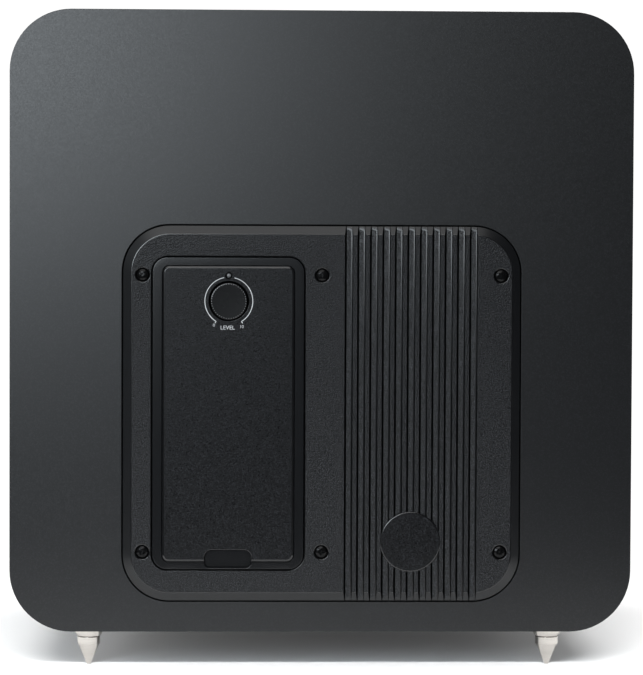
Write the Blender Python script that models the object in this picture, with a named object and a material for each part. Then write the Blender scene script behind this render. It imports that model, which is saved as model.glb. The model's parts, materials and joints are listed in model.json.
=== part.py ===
"""Powered 12-inch subwoofer: a sealed cube cabinet on four adjustable spikes.

Frame: +Z is up, the floor is z = 0, the woofer faces -Y and the amplifier panel faces +Y.
Drawings are in millimetres, and become metres where a mesh or a place is made.
Both panels are drawn in a panel frame: x to the right and z up for somebody who faces the
panel, and y into the cabinet, with y = 0 on the cabinet's face.
"""

import math

import bmesh
import bpy
from mathutils import Vector

MM = 0.001
GAP = 0.3                     # clearance between pieces that touch or are glued
OUTSIDE = -6.0                # where a cut starts, clear of everything on a panel's face

# Cabinet
CABINET_WIDTH = 400.0
CABINET_HEIGHT = 399.0
CABINET_DEPTH = 376.0
CORNER_RADIUS = 39.5
WALL = 15.0
BAFFLE_THICKNESS = 25.0
REAR_THICKNESS = 18.0
BRACE_THICKNESS = 15.0
BRACE_FROM_FRONT = 208.0
BRACE_WINDOW = 142.0
BRACE_RIB = 24.0

# Feet
FOOT_HEIGHT = 28.0
FOOT_SPREAD_X = 151.4
FOOT_INSET = 50.0
SPIKE_CONE = 12.8
SPIKE_RADIUS = 7.55
SPIKE_TIP_RADIUS = 1.1
SPIKE_BODY_TOP = 18.6
STUD_RADIUS = 3.9
STUD_TOP = 48.0
NUT_RADIUS = 9.0
INSERT_RADIUS = 6.0

# Woofer, measured from the baffle's face
FLANGE_RADIUS = 154.0
FLANGE_FRONT = 2.6
FLANGE_BACK = 6.0
FRAME_RADIUS = 144.0
SEAT_RADIUS = 141.5
SEAT_DEPTH = 8.0
SURROUND_INNER = 120.0
SURROUND_OUTER = 136.0
ROLL_HEIGHT = 10.6
RUBBER = 0.8
CONE_THICKNESS = 1.2
NECK_RADIUS = 26.9
NECK_DEPTH = 49.2
COIL_RADIUS = 26.5
SPIDER_SEAT = 74.4
BASKET_FOOT = 96.7
TOP_PLATE_THICKNESS = 10.0
MAGNET_THICKNESS = 36.0
YOKE_THICKNESS = 12.0
SCREW_CIRCLE = 149.2
WOOFER_SCREWS = 6
WOOFER_SCREW_ANGLE = 30.0
WOOFER_SCREW_HOLE = 2.7
TRIM_RADIUS = FLANGE_RADIUS + 2.5
BASKET_WINDOWS = 6
BASKET_WINDOW_HALF = math.radians(19.3)

# Amplifier plate, measured from the cabinet's rear face
PLATE_WIDTH = 255.0
PLATE_HEIGHT = 241.0
PLATE_RADIUS = 30.0
PLATE_BELOW_CENTRE = 58.9
PLATE_FACE = -1.8
PLATE_RIM = 0.3
PLATE_BACK = 3.3
PLATE_BEVEL = 5.0
CUTOUT_WIDTH = 214.0
CUTOUT_HEIGHT = 216.0
CUTOUT_RADIUS = 12.0
RECESS_DEPTH = 5.4
SCREW_X = 115.0
SCREW_Z = 89.0
SCREW_HOLE = 2.1
COUNTERBORE_RADIUS = 4.6
COUNTERBORE_FLOOR = 0.8
FLUTES = 11
FLUTE_FIRST_X = 17.2
FLUTE_PITCH = 8.01
FLUTE_WIDTH = 4.8
FLUTE_FLOOR = -0.75
BOSS_AT = (57.3, -82.3)
BOSS_RADIUS = 19.4

# Control bay and its cover, in the amplifier plate's frame
BAY_X = -60.0
BAY_WIDTH = 98.0
BAY_HEIGHT = 202.0
BAY_RADIUS = 10.0
COVER_WIDTH = 84.5
COVER_HEIGHT = 189.5
COVER_Z = -0.5
COVER_RADIUS = 4.5
COVER_SKIRT = 1.6
OPENING_RADIUS = 4.8
LEDGE_RADIUS = 3.6
BAY_WALL = 2.0
BAY_LEDGE = 1.2
LEDGE_DEPTH = 4.4
BAY_FLOOR = 65.0
SHELF_FLOOR = 14.0
SHELF_Z = 46.0
NOTCH_WIDTH = 30.5
NOTCH_HEIGHT = 7.6
NOTCH_RADIUS = 5.0
SCOOP_HEIGHT = 3.7
SCOOP_RADIUS = 4.0
KNOB_AT = (-59.8, 72.2)
KNOB_HOLE = 13.25
KNOB_RADIUS = 11.5
KNOB_FRONT = -6.0
LIGHT_AT = (KNOB_AT[0], KNOB_AT[1] + 16.4)
LIGHT_HOLE = 2.2
LIGHT_RADIUS = 1.3
SHAFT_HOLE = 4.1
CROSSOVER_AT = (-84.0, 22.0)
PHASE_AT = (-54.0, 22.0)
MODE_AT = (-31.0, 22.0)
SOCKETS_Z = -14.0
SOCKET_PITCH = 24.0
SOCKET_HOLE = 4.7
PHASE_SLOT = 9.4
MODE_SLOT = 12.4
SLOT_HEIGHT = 4.0
INLET_AT = (-76.0, -62.0)
ROCKER_AT = (-36.0, -62.0)
ROCKER_TILT = math.radians(7.0)
BOARD_DEPTH = 84.0

# Facets
BIG = 32
MEDIUM = 18
SMALL = 12
CORNER_STEPS = 4

FRONT_PROUD = ROLL_HEIGHT - (SEAT_DEPTH - GAP - RUBBER)
TOTAL_DEPTH = FRONT_PROUD + CABINET_DEPTH - KNOB_FRONT
FRONT_Y = FRONT_PROUD - TOTAL_DEPTH / 2
REAR_Y = FRONT_Y + CABINET_DEPTH
CENTRE_Z = FOOT_HEIGHT + CABINET_HEIGHT / 2
PLATE_Z = CENTRE_Z - PLATE_BELOW_CENTRE
INNER_WIDTH = CABINET_WIDTH - 2 * WALL
INNER_HEIGHT = CABINET_HEIGHT - 2 * WALL
INNER_RADIUS = CORNER_RADIUS - WALL

FINISHES = {
    "satin_black_paint": ((0.030, 0.030, 0.032), 0.38, 0.0),
    "raw_mdf": ((0.36, 0.24, 0.14), 0.85, 0.0),
    "nickel_steel": ((0.62, 0.61, 0.58), 0.28, 1.0),
    "zinc_steel": ((0.55, 0.55, 0.56), 0.40, 1.0),
    "brass": ((0.72, 0.54, 0.25), 0.35, 1.0),
    "cast_black": ((0.020, 0.020, 0.021), 0.50, 0.3),
    "foam_gasket": ((0.035, 0.035, 0.035), 0.95, 0.0),
    "trim_plastic": ((0.022, 0.022, 0.023), 0.45, 0.0),
    "black_rubber": ((0.018, 0.018, 0.018), 0.62, 0.0),
    "cone_paper": ((0.030, 0.030, 0.033), 0.55, 0.0),
    "ferrite": ((0.075, 0.073, 0.072), 0.70, 0.0),
    "kapton": ((0.50, 0.27, 0.08), 0.40, 0.0),
    "copper": ((0.80, 0.40, 0.22), 0.30, 1.0),
    "spider_cloth": ((0.62, 0.50, 0.28), 0.90, 0.0),
    "textured_black": ((0.024, 0.024, 0.026), 0.55, 0.2),
    "smooth_black_plastic": ((0.018, 0.018, 0.019), 0.36, 0.0),
    "black_oxide": ((0.020, 0.020, 0.020), 0.35, 0.8),
    "light_pipe": ((0.42, 0.43, 0.45), 0.25, 0.0),
    "socket_black": ((0.020, 0.020, 0.021), 0.45, 0.0),
    "aluminium": ((0.70, 0.70, 0.72), 0.45, 1.0),
    "circuit_board": ((0.030, 0.16, 0.07), 0.50, 0.0),
    "winding_tape": ((0.75, 0.62, 0.16), 0.45, 0.0),
}


# ---------------------------------------------------------------- helpers

def clear_scene():
    for old in list(bpy.data.objects):
        bpy.data.objects.remove(old, do_unlink=True)


def finish_material(name):
    known = bpy.data.materials.get(name)
    if known:
        return known
    colour, roughness, metallic = FINISHES[name]
    material = bpy.data.materials.new(name)
    material.use_nodes = True
    shader = material.node_tree.nodes["Principled BSDF"]
    shader.inputs["Base Color"].default_value = (*colour, 1.0)
    shader.inputs["Roughness"].default_value = roughness
    shader.inputs["Metallic"].default_value = metallic
    material.diffuse_color = (*colour, 1.0)
    return material


def frame_empty(name, y, z, turn_z=0.0):
    """An empty that carries a panel's frame."""
    empty = bpy.data.objects.new(name, None)
    bpy.context.collection.objects.link(empty)
    empty.location = Vector((0.0, y, z)) * MM
    empty.rotation_euler = (0.0, 0.0, turn_z)
    return empty


def make_object(name, bm, finish, parent=None, at=(0.0, 0.0, 0.0), turn_x=0.0):
    """Turn a closed bmesh, drawn in metres, into a named object."""
    bmesh.ops.recalc_face_normals(bm, faces=bm.faces)
    mesh = bpy.data.meshes.new(name)
    bm.to_mesh(mesh)
    bm.free()
    mesh.shade_smooth()
    mesh.set_sharp_from_angle(angle=math.radians(35.0))
    item = bpy.data.objects.new(name, mesh)
    bpy.context.collection.objects.link(item)
    item.parent = parent
    item.location = Vector(at) * MM
    item.rotation_euler = (turn_x, 0.0, 0.0)
    if finish:
        mesh.materials.append(finish_material(finish))
    return item


def boolean(target, bm, operation="DIFFERENCE"):
    """Cut a drawn shape from an object, or join it on. The shape is in the parent's frame."""
    number = len(target.modifiers) + 1
    tool = make_object(f"tool_{target.name}_{number}", bm, None, target.parent)
    tool.hide_render = True
    tool.display_type = "WIRE"
    modifier = target.modifiers.new(f"{operation.lower()}_{number}", "BOOLEAN")
    modifier.operation = operation
    modifier.solver = "EXACT"
    modifier.object = tool


def rounded(width, height, radius, centre=(0.0, 0.0), steps=CORNER_STEPS):
    """Outline of a rectangle with round corners, as (x, z) points."""
    points = []
    for corner, (side_x, side_z) in enumerate(((1, 1), (-1, 1), (-1, -1), (1, -1))):
        middle_x = centre[0] + side_x * (width / 2 - radius)
        middle_z = centre[1] + side_z * (height / 2 - radius)
        for step in range(steps + 1):
            angle = math.radians(90.0) * (corner + step / steps)
            points.append((middle_x + radius * math.cos(angle), middle_z + radius * math.sin(angle)))
    return points


def rectangle(width, height, centre=(0.0, 0.0)):
    x, z = centre
    return [(x + a * width / 2, z + b * height / 2) for a, b in ((1, 1), (-1, 1), (-1, -1), (1, -1))]


def add_ring(bm, outline, y):
    return [bm.verts.new(Vector((x, y, z)) * MM) for x, z in outline]


def bridge(bm, ring_a, ring_b):
    for i, vert in enumerate(ring_a):
        j = (i + 1) % len(ring_a)
        bm.faces.new((vert, ring_a[j], ring_b[j], ring_b[i]))


def add_loft(bm, sections, ring_shaped=False):
    """Skin through (outline, y) sections, capped, or closed on itself for a ring."""
    rings = [add_ring(bm, outline, y) for outline, y in sections]
    for ring_a, ring_b in zip(rings, rings[1:]):
        bridge(bm, ring_a, ring_b)
    if ring_shaped:
        bridge(bm, rings[-1], rings[0])
    else:
        bm.faces.new(rings[0])
        bm.faces.new(rings[-1])


def add_prism(bm, outline, y_from, y_to):
    add_loft(bm, [(outline, y_from), (outline, y_to)])


def add_side_prism(bm, profile, x_from, x_to):
    """Prism along x of a profile of (y, z) points."""
    ends = []
    for x in (x_from, x_to):
        ends.append([bm.verts.new(Vector((x, y, z)) * MM) for y, z in profile])
    bridge(bm, ends[0], ends[1])
    bm.faces.new(ends[0])
    bm.faces.new(ends[1])


def add_turned(bm, profile, segments, centre=(0.0, 0.0, 0.0), upright=False):
    """Turn (radius, height) points about y, or about z when upright.

    A profile that starts and ends on the axis is a solid, and any other is a closed ring.
    """
    verts = []
    for radius, height in profile:
        local = (radius, 0.0, height) if upright else (radius, height, 0.0)
        verts.append(bm.verts.new((Vector(local) + Vector(centre)) * MM))
    pairs = list(zip(verts, verts[1:]))
    if profile[0][0] > 0.0:
        pairs.append((verts[-1], verts[0]))
    edges = [bm.edges.new(pair) for pair in pairs]
    axis = (0.0, 0.0, 1.0) if upright else (0.0, 1.0, 0.0)
    bmesh.ops.spin(bm, geom=verts + edges, cent=Vector(centre) * MM, axis=axis,
                   angle=math.tau, steps=segments, use_merge=True)
    bmesh.ops.remove_doubles(bm, verts=bm.verts, dist=1e-6)


def turned_object(name, profile, segments, finish, parent=None, at=(0.0, 0.0, 0.0), upright=False):
    bm = bmesh.new()
    add_turned(bm, profile, segments, upright=upright)
    return make_object(name, bm, finish, parent, at)


def add_cylinders(bm, places, radius, y_from, y_to, segments=SMALL):
    """Round bars along y at each (x, z) place."""
    for x, z in places:
        bar = [(0.0, y_from), (radius, y_from), (radius, y_to), (0.0, y_to)]
        add_turned(bm, bar, segments, centre=(x, 0.0, z))


def cut_cylinders(target, places, radius, y_from, y_to, segments=SMALL):
    bm = bmesh.new()
    add_cylinders(bm, places, radius, y_from, y_to, segments)
    boolean(target, bm)


def cut_prism(target, outline, y_from, y_to):
    bm = bmesh.new()
    add_prism(bm, outline, y_from, y_to)
    boolean(target, bm)


def woofer_screw_places():
    angles = [math.radians(WOOFER_SCREW_ANGLE + 360.0 * i / WOOFER_SCREWS) for i in range(WOOFER_SCREWS)]
    return [(SCREW_CIRCLE * math.cos(a), SCREW_CIRCLE * math.sin(a)) for a in angles]


# ---------------------------------------------------------------- cabinet and feet

def foot_places():
    """The four feet's centres in world millimetres."""
    front = FRONT_Y + FOOT_INSET
    rear = REAR_Y - FOOT_INSET
    return [(x, y) for y in (front, rear) for x in (-FOOT_SPREAD_X, FOOT_SPREAD_X)]


def build_wrap(front):
    outer = rounded(CABINET_WIDTH, CABINET_HEIGHT, CORNER_RADIUS, steps=7)
    inner = rounded(INNER_WIDTH, INNER_HEIGHT, INNER_RADIUS, steps=7)
    bm = bmesh.new()
    add_loft(bm, [(outer, 0.0), (outer, CABINET_DEPTH), (inner, CABINET_DEPTH), (inner, 0.0)],
             ring_shaped=True)
    wrap = make_object("cabinet_wrap", bm, "satin_black_paint", front)
    bm = bmesh.new()
    hole = INSERT_RADIUS + GAP
    floor = -CABINET_HEIGHT / 2
    for x, y in foot_places():
        bar = [(0.0, floor - 5.0), (hole, floor - 5.0), (hole, floor + WALL + 5.0), (0.0, floor + WALL + 5.0)]
        add_turned(bm, bar, SMALL, centre=(x, y - FRONT_Y, 0.0), upright=True)
    boolean(wrap, bm)


def inner_outline(centre=(0.0, 0.0)):
    return rounded(INNER_WIDTH - 2 * GAP, INNER_HEIGHT - 2 * GAP, INNER_RADIUS - GAP, centre)


def build_baffle(front):
    bm = bmesh.new()
    add_prism(bm, inner_outline(), 0.0, BAFFLE_THICKNESS)
    baffle = make_object("front_baffle", bm, "satin_black_paint", front)
    rebate = TRIM_RADIUS + GAP
    hole = FRAME_RADIUS + 0.4
    floor = FLANGE_BACK + 1.6
    step = [(0.0, -5.0), (rebate, -5.0), (rebate, floor), (hole, floor), (hole, 30.0), (0.0, 30.0)]
    bm = bmesh.new()
    add_turned(bm, step, BIG)
    boolean(baffle, bm)
    cut_cylinders(baffle, woofer_screw_places(), WOOFER_SCREW_HOLE, 5.0, 24.0, 12)


def build_rear_panel(rear):
    bm = bmesh.new()
    add_prism(bm, inner_outline((0.0, PLATE_BELOW_CENTRE)), 0.0, REAR_THICKNESS)
    panel = make_object("rear_panel", bm, "satin_black_paint", rear)
    recess = rounded(PLATE_WIDTH + 2 * GAP, PLATE_HEIGHT + 2 * GAP, PLATE_RADIUS + GAP)
    cut_prism(panel, recess, -3.0, RECESS_DEPTH)
    cut_prism(panel, rounded(CUTOUT_WIDTH, CUTOUT_HEIGHT, CUTOUT_RADIUS), 0.0, REAR_THICKNESS + 3.0)
    cut_cylinders(panel, corner_screw_places(), SCREW_HOLE, 2.0, 16.0, 12)


def build_brace(front):
    """Plate across the middle of the cabinet with four windows for the air to pass."""
    bm = bmesh.new()
    add_prism(bm, inner_outline(), BRACE_FROM_FRONT, BRACE_FROM_FRONT + BRACE_THICKNESS)
    brace = make_object("window_brace", bm, "raw_mdf", front)
    shift = (BRACE_WINDOW + BRACE_RIB) / 2
    bm = bmesh.new()
    for x in (-shift, shift):
        for z in (-shift, shift):
            window = rounded(BRACE_WINDOW, BRACE_WINDOW, 22.0, (x, z), steps=2)
            add_prism(bm, window, BRACE_FROM_FRONT - 5.0, BRACE_FROM_FRONT + BRACE_THICKNESS + 5.0)
    boolean(brace, bm)


def build_feet():
    """A flanged insert, a spike with its stud and a lock nut at each corner."""
    underside = FOOT_HEIGHT
    bore = STUD_RADIUS + 0.4
    insert = [(bore, underside + GAP), (INSERT_RADIUS, underside + GAP),
              (INSERT_RADIUS, underside + WALL + GAP), (9.0, underside + WALL + GAP),
              (9.0, underside + WALL + 2.0), (bore, underside + WALL + 2.0)]
    spike = [(0.0, 0.0), (SPIKE_TIP_RADIUS, 0.0), (SPIKE_RADIUS, SPIKE_CONE),
             (SPIKE_RADIUS, SPIKE_BODY_TOP - 0.4), (SPIKE_RADIUS - 0.4, SPIKE_BODY_TOP),
             (STUD_RADIUS, SPIKE_BODY_TOP), (STUD_RADIUS, STUD_TOP), (0.0, STUD_TOP)]
    nut_bottom = SPIKE_BODY_TOP + 0.4
    nut = [(bore, nut_bottom), (NUT_RADIUS - 1.3, nut_bottom), (NUT_RADIUS, nut_bottom + 1.3),
           (NUT_RADIUS, underside - GAP), (bore, underside - GAP)]
    for number, (x, y) in enumerate(foot_places(), start=1):
        place = (x, y, 0.0)
        turned_object(f"threaded_insert_{number}", insert, SMALL, "brass", None, place, upright=True)
        turned_object(f"spike_{number}", spike, MEDIUM, "nickel_steel", None, place, upright=True)
        turned_object(f"spike_lock_nut_{number}", nut, MEDIUM, "nickel_steel", None, place, upright=True)


# ---------------------------------------------------------------- woofer

def surround_profile():
    """Half roll between two flat lips, one rubber thickness thick."""
    back = SEAT_DEPTH - GAP
    front = back - RUBBER
    middle = (SURROUND_INNER + SURROUND_OUTER) / 2
    half = (SURROUND_OUTER - SURROUND_INNER) / 2
    steps = 6
    arcs = []
    for inset in (0.0, RUBBER):
        arc = []
        for step in range(steps + 1):
            angle = math.pi * step / steps
            radius = middle - (half - inset) * math.cos(angle)
            arc.append((radius, front + inset - ROLL_HEIGHT * math.sin(angle)))
        arcs.append(arc)
    outer_lip = [(SEAT_RADIUS - GAP, front), (SEAT_RADIUS - GAP, back)]
    return [(113.0, front)] + arcs[0] + outer_lip + arcs[1][::-1] + [(113.0, back)]


def build_basket(front):
    profile = [
        (FLANGE_RADIUS, FLANGE_FRONT), (FLANGE_RADIUS, FLANGE_BACK), (FRAME_RADIUS, FLANGE_BACK),
        (FRAME_RADIUS, 12.0), (81.0, SPIDER_SEAT + 3.0), (69.5, SPIDER_SEAT + 3.0),
        (69.5, BASKET_FOOT), (34.0, BASKET_FOOT), (34.0, BASKET_FOOT - 3.2),
        (66.5, BASKET_FOOT - 3.2), (66.5, SPIDER_SEAT), (77.0, SPIDER_SEAT), (134.0, 14.0),
        (134.0, SEAT_DEPTH), (SEAT_RADIUS, SEAT_DEPTH), (SEAT_RADIUS, FLANGE_FRONT),
    ]
    basket = turned_object("woofer_basket", profile, BIG, "cast_black", front)
    bm = bmesh.new()
    for window in range(BASKET_WINDOWS):
        middle = math.tau * window / BASKET_WINDOWS
        outline = []
        for radius, side in ((60.0, -1), (165.0, -1), (165.0, 1), (60.0, 1)):
            angle = middle + side * BASKET_WINDOW_HALF
            outline.append((radius * math.cos(angle), radius * math.sin(angle)))
        add_prism(bm, outline, 20.0, 68.0)
    boolean(basket, bm)
    cut_cylinders(basket, woofer_screw_places(), WOOFER_SCREW_HOLE, -2.0, 9.0, 12)


def build_woofer_seal(front):
    back = FLANGE_BACK + GAP
    gasket = [(144.9, back), (153.6, back), (153.6, back + 1.0), (144.9, back + 1.0)]
    seal = turned_object("woofer_gasket", gasket, BIG, "foam_gasket", front)
    cut_cylinders(seal, woofer_screw_places(), WOOFER_SCREW_HOLE, 4.0, 9.0, 12)
    hollow = TRIM_RADIUS - 1.9
    trim = [(139.5, -1.0), (140.5, -2.0), (TRIM_RADIUS - 1.0, -2.0), (TRIM_RADIUS, -1.0), (TRIM_RADIUS, 7.3),
            (hollow, 7.3), (hollow, -0.8), (142.0, -0.8), (142.0, 2.3), (139.5, 2.3)]
    turned_object("woofer_trim_ring", trim, BIG, "trim_plastic", front)
    screw = [(0.0, -0.4), (3.2, -0.4), (4.6, 0.6), (4.6, 2.3), (2.4, 2.3), (2.4, 22.0), (0.0, 23.5)]
    for number, (x, z) in enumerate(woofer_screw_places(), start=1):
        turned_object(f"woofer_screw_{number}", screw, 8, "zinc_steel", front, (x, 0.0, z))


def build_motor(front):
    plate_front = BASKET_FOOT + GAP
    plate_back = plate_front + TOP_PLATE_THICKNESS
    magnet_front = plate_back + GAP
    magnet_back = magnet_front + MAGNET_THICKNESS
    yoke_front = magnet_back + GAP
    yoke_back = yoke_front + YOKE_THICKNESS
    plate = [(30.0, plate_front), (74.0, plate_front), (74.0, plate_back), (30.0, plate_back)]
    magnet = [(36.0, magnet_front), (84.0, magnet_front), (84.0, magnet_back), (36.0, magnet_back)]
    pole = COIL_RADIUS - 1.9
    yoke = [(10.0, 95.0), (pole, 95.0), (pole, yoke_front), (77.0, yoke_front),
            (78.0, yoke_front + 1.0), (78.0, yoke_back), (10.0, yoke_back)]
    turned_object("woofer_top_plate", plate, 24, "zinc_steel", front)
    turned_object("woofer_magnet", magnet, 24, "ferrite", front)
    turned_object("woofer_pole_yoke", yoke, 24, "zinc_steel", front)


def build_cone_assembly(front):
    """Everything that moves with the voice coil, and the two springs of rubber and cloth."""
    back = SEAT_DEPTH + CONE_THICKNESS
    cone = [(SURROUND_INNER - 0.4, SEAT_DEPTH), (SURROUND_INNER - 0.4, back), (112.6, back + 0.2),
            (NECK_RADIUS + 1.3, NECK_DEPTH + 0.8), (NECK_RADIUS + 1.3, 54.0), (NECK_RADIUS, 54.0),
            (NECK_RADIUS, NECK_DEPTH), (112.9, SEAT_DEPTH)]
    turned_object("woofer_cone", cone, BIG, "cone_paper", front)

    rim_radius, rim_depth, crown, skin = 44.0, 39.9, 15.0, 1.0
    sphere = (rim_radius ** 2 + crown ** 2) / (2 * crown)
    middle = rim_depth - crown + sphere
    reach = math.asin(rim_radius / sphere)
    outside = [(sphere * math.sin(reach * i / 5), middle - sphere * math.cos(reach * i / 5)) for i in range(6)]
    thin = sphere - skin
    inside = [(thin * math.sin(reach * i / 5), middle - thin * math.cos(reach * i / 5)) for i in range(6)]
    turned_object("woofer_dust_cap", outside + inside[::-1], MEDIUM, "cone_paper", front)

    turned_object("woofer_surround", surround_profile(), BIG, "black_rubber", front)
    former = [(COIL_RADIUS - 0.5, 46.0), (COIL_RADIUS, 46.0), (COIL_RADIUS, 122.0), (COIL_RADIUS - 0.5, 122.0)]
    turned_object("voice_coil_former", former, MEDIUM, "kapton", front)
    coil = [(COIL_RADIUS + 0.4, 86.0), (COIL_RADIUS + 1.9, 86.0), (COIL_RADIUS + 1.9, 118.0),
            (COIL_RADIUS + 0.4, 118.0)]
    turned_object("voice_coil", coil, MEDIUM, "copper", front)

    rolls, cloth, wave = 4, 0.7, 2.2
    seat = SPIDER_SEAT - GAP
    wavy = []
    for i in range(rolls + 1):
        radius = 34.0 + (64.0 - 34.0) * i / rolls
        wavy.append((radius, seat - cloth - (wave if i % 2 else 0.0)))
    face = [(COIL_RADIUS + 0.7, seat - cloth)] + wavy + [(75.5, seat - cloth)]
    underside = [(radius, y + cloth) for radius, y in reversed(face)]
    turned_object("woofer_spider", face + underside, MEDIUM, "spider_cloth", front)


# ---------------------------------------------------------------- amplifier

def amp_screw_places():
    return [(x, z) for z in (SCREW_Z, -SCREW_Z) for x in (-SCREW_X, 0.0, SCREW_X)]


def corner_screw_places():
    """Those of the plate's screws that reach the cabinet's wood."""
    return [(x, z) for x, z in amp_screw_places() if x]


def build_amp_plate(rear):
    whole = rounded(PLATE_WIDTH, PLATE_HEIGHT, PLATE_RADIUS)
    face = rounded(PLATE_WIDTH - 2 * PLATE_BEVEL, PLATE_HEIGHT - 2 * PLATE_BEVEL, PLATE_RADIUS - PLATE_BEVEL)
    bm = bmesh.new()
    add_loft(bm, [(whole, PLATE_BACK), (whole, PLATE_RIM), (face, PLATE_FACE)])
    plate = make_object("amp_plate", bm, "textured_black", rear)

    bm = bmesh.new()
    for flute in range(FLUTES):
        x = FLUTE_FIRST_X + flute * FLUTE_PITCH
        add_prism(bm, rectangle(FLUTE_WIDTH, PLATE_HEIGHT + 10.0, (x, 0.0)), OUTSIDE, FLUTE_FLOOR)
    boolean(plate, bm)

    bm = bmesh.new()
    boss = [(0.0, PLATE_FACE - 0.5), (BOSS_RADIUS - 0.4, PLATE_FACE - 0.5), (BOSS_RADIUS, PLATE_FACE - 0.1),
            (BOSS_RADIUS, 1.4), (0.0, 1.4)]
    add_turned(bm, boss, 24, centre=(BOSS_AT[0], 0.0, BOSS_AT[1]))
    boolean(plate, bm, "UNION")

    pocket = rounded(BAY_WIDTH + 2 * GAP, BAY_HEIGHT + 2 * GAP, BAY_RADIUS + GAP, (BAY_X, 0.0))
    cut_prism(plate, pocket, OUTSIDE, 1.0)
    cut_prism(plate, tub_outline(GAP), 0.0, 6.0)
    cut_cylinders(plate, amp_screw_places(), COUNTERBORE_RADIUS, OUTSIDE, COUNTERBORE_FLOOR)
    cut_cylinders(plate, amp_screw_places(), SCREW_HOLE, 0.0, 6.0, 12)


def build_amp_gasket(rear):
    front = PLATE_BACK + GAP
    bm = bmesh.new()
    outer = rounded(PLATE_WIDTH - 1.0, PLATE_HEIGHT - 1.0, PLATE_RADIUS - 0.5)
    inner = rounded(CUTOUT_WIDTH + 2.0, CUTOUT_HEIGHT + 3.0, 13.0)
    add_loft(bm, [(outer, front), (outer, front + 1.5), (inner, front + 1.5), (inner, front)], ring_shaped=True)
    gasket = make_object("amp_gasket", bm, "foam_gasket", rear)
    cut_cylinders(gasket, corner_screw_places(), SCREW_HOLE, 2.0, 7.0, 12)


def build_amp_screws(rear):
    profile = [(0.0, -1.4), (2.6, -1.25), (3.8, -0.6), (4.1, 0.1), (4.1, 0.5), (1.75, 0.5),
               (1.75, 13.5), (0.0, 15.0)]
    for number, (x, z) in enumerate(amp_screw_places(), start=1):
        turned_object(f"amp_screw_{number}", profile, SMALL, "black_oxide", rear, (x, 0.0, z))


def tub_outline(growth=0.0):
    """Outside of the bay's tub, where it passes through the plate."""
    width = COVER_WIDTH + 2 * (GAP + BAY_WALL + growth)
    height = COVER_HEIGHT + 2 * (GAP + BAY_WALL + growth)
    return rounded(width, height, OPENING_RADIUS + BAY_WALL + growth, (BAY_X, COVER_Z))


def build_control_bay(rear):
    """Bezel ring and stepped tub in one moulding: a deep bay below and a shelf behind the knob."""
    edge = 0.4
    ring = rounded(BAY_WIDTH, BAY_HEIGHT, BAY_RADIUS, (BAY_X, 0.0))
    ring_face = rounded(BAY_WIDTH - 2 * edge, BAY_HEIGHT - 2 * edge, BAY_RADIUS - edge, (BAY_X, 0.0))
    tub = tub_outline()
    bm = bmesh.new()
    add_loft(bm, [(tub, BAY_FLOOR + BAY_WALL), (tub, 0.7), (ring, 0.7), (ring, PLATE_FACE + edge),
                  (ring_face, PLATE_FACE)])
    bay = make_object("control_bay", bm, "smooth_black_plastic", rear)

    shelf_height = 60.0
    behind = rectangle(120.0, shelf_height, (BAY_X, SHELF_Z + BAY_WALL + shelf_height / 2))
    cut_prism(bay, behind, SHELF_FLOOR + BAY_WALL, 80.0)

    opening_width = COVER_WIDTH + 2 * GAP
    opening_height = COVER_HEIGHT + 2 * GAP
    opening = rounded(opening_width, opening_height, OPENING_RADIUS, (BAY_X, COVER_Z))
    cut_prism(bay, opening, OUTSIDE, LEDGE_DEPTH)

    width = opening_width - 2 * BAY_LEDGE
    low = COVER_Z - opening_height / 2 + BAY_LEDGE
    high = COVER_Z + opening_height / 2 - BAY_LEDGE
    deep = rounded(width, SHELF_Z - low, LEDGE_RADIUS, (BAY_X, (SHELF_Z + low) / 2), steps=3)
    cut_prism(bay, deep, 0.0, BAY_FLOOR)
    shelf_low = SHELF_Z - 5.0
    shelf = rounded(width, high - shelf_low, LEDGE_RADIUS, (BAY_X, (high + shelf_low) / 2), steps=3)
    cut_prism(bay, shelf, 1.0, SHELF_FLOOR)

    scoop_top = 4.0
    scoop_low = low - BAY_LEDGE - SCOOP_HEIGHT
    scoop_height = SCOOP_HEIGHT + BAY_LEDGE + scoop_top
    scoop = rounded(NOTCH_WIDTH, scoop_height, SCOOP_RADIUS, (BAY_X, scoop_low + scoop_height / 2), steps=3)
    cut_prism(bay, scoop, OUTSIDE, 0.1)

    behind_shelf = SHELF_FLOOR + BAY_WALL + 4.0
    cut_cylinders(bay, [KNOB_AT], SHAFT_HOLE, 10.0, behind_shelf)
    cut_cylinders(bay, [LIGHT_AT], LIGHT_RADIUS + 0.4, 10.0, behind_shelf, 12)

    below, beyond = BAY_FLOOR - 3.0, BAY_FLOOR + BAY_WALL + 3.0
    cut_cylinders(bay, [CROSSOVER_AT], SHAFT_HOLE, below, beyond)
    cut_cylinders(bay, socket_places(), SOCKET_HOLE, below, beyond)
    bm = bmesh.new()
    for outline in (rectangle(PHASE_SLOT, SLOT_HEIGHT, PHASE_AT), rectangle(MODE_SLOT, SLOT_HEIGHT, MODE_AT),
                    rectangle(28.0, 20.4, INLET_AT), rectangle(19.6, 26.6, ROCKER_AT)):
        add_prism(bm, outline, below, beyond)
    boolean(bay, bm)

    bm = bmesh.new()
    posts = [(BAY_X + x, z) for x in (-38.0, 38.0) for z in (-88.0, 38.0)]
    add_cylinders(bm, posts, 3.0, BAY_FLOOR + 1.0, BOARD_DEPTH - GAP, 12)
    boolean(bay, bm, "UNION")


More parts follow.
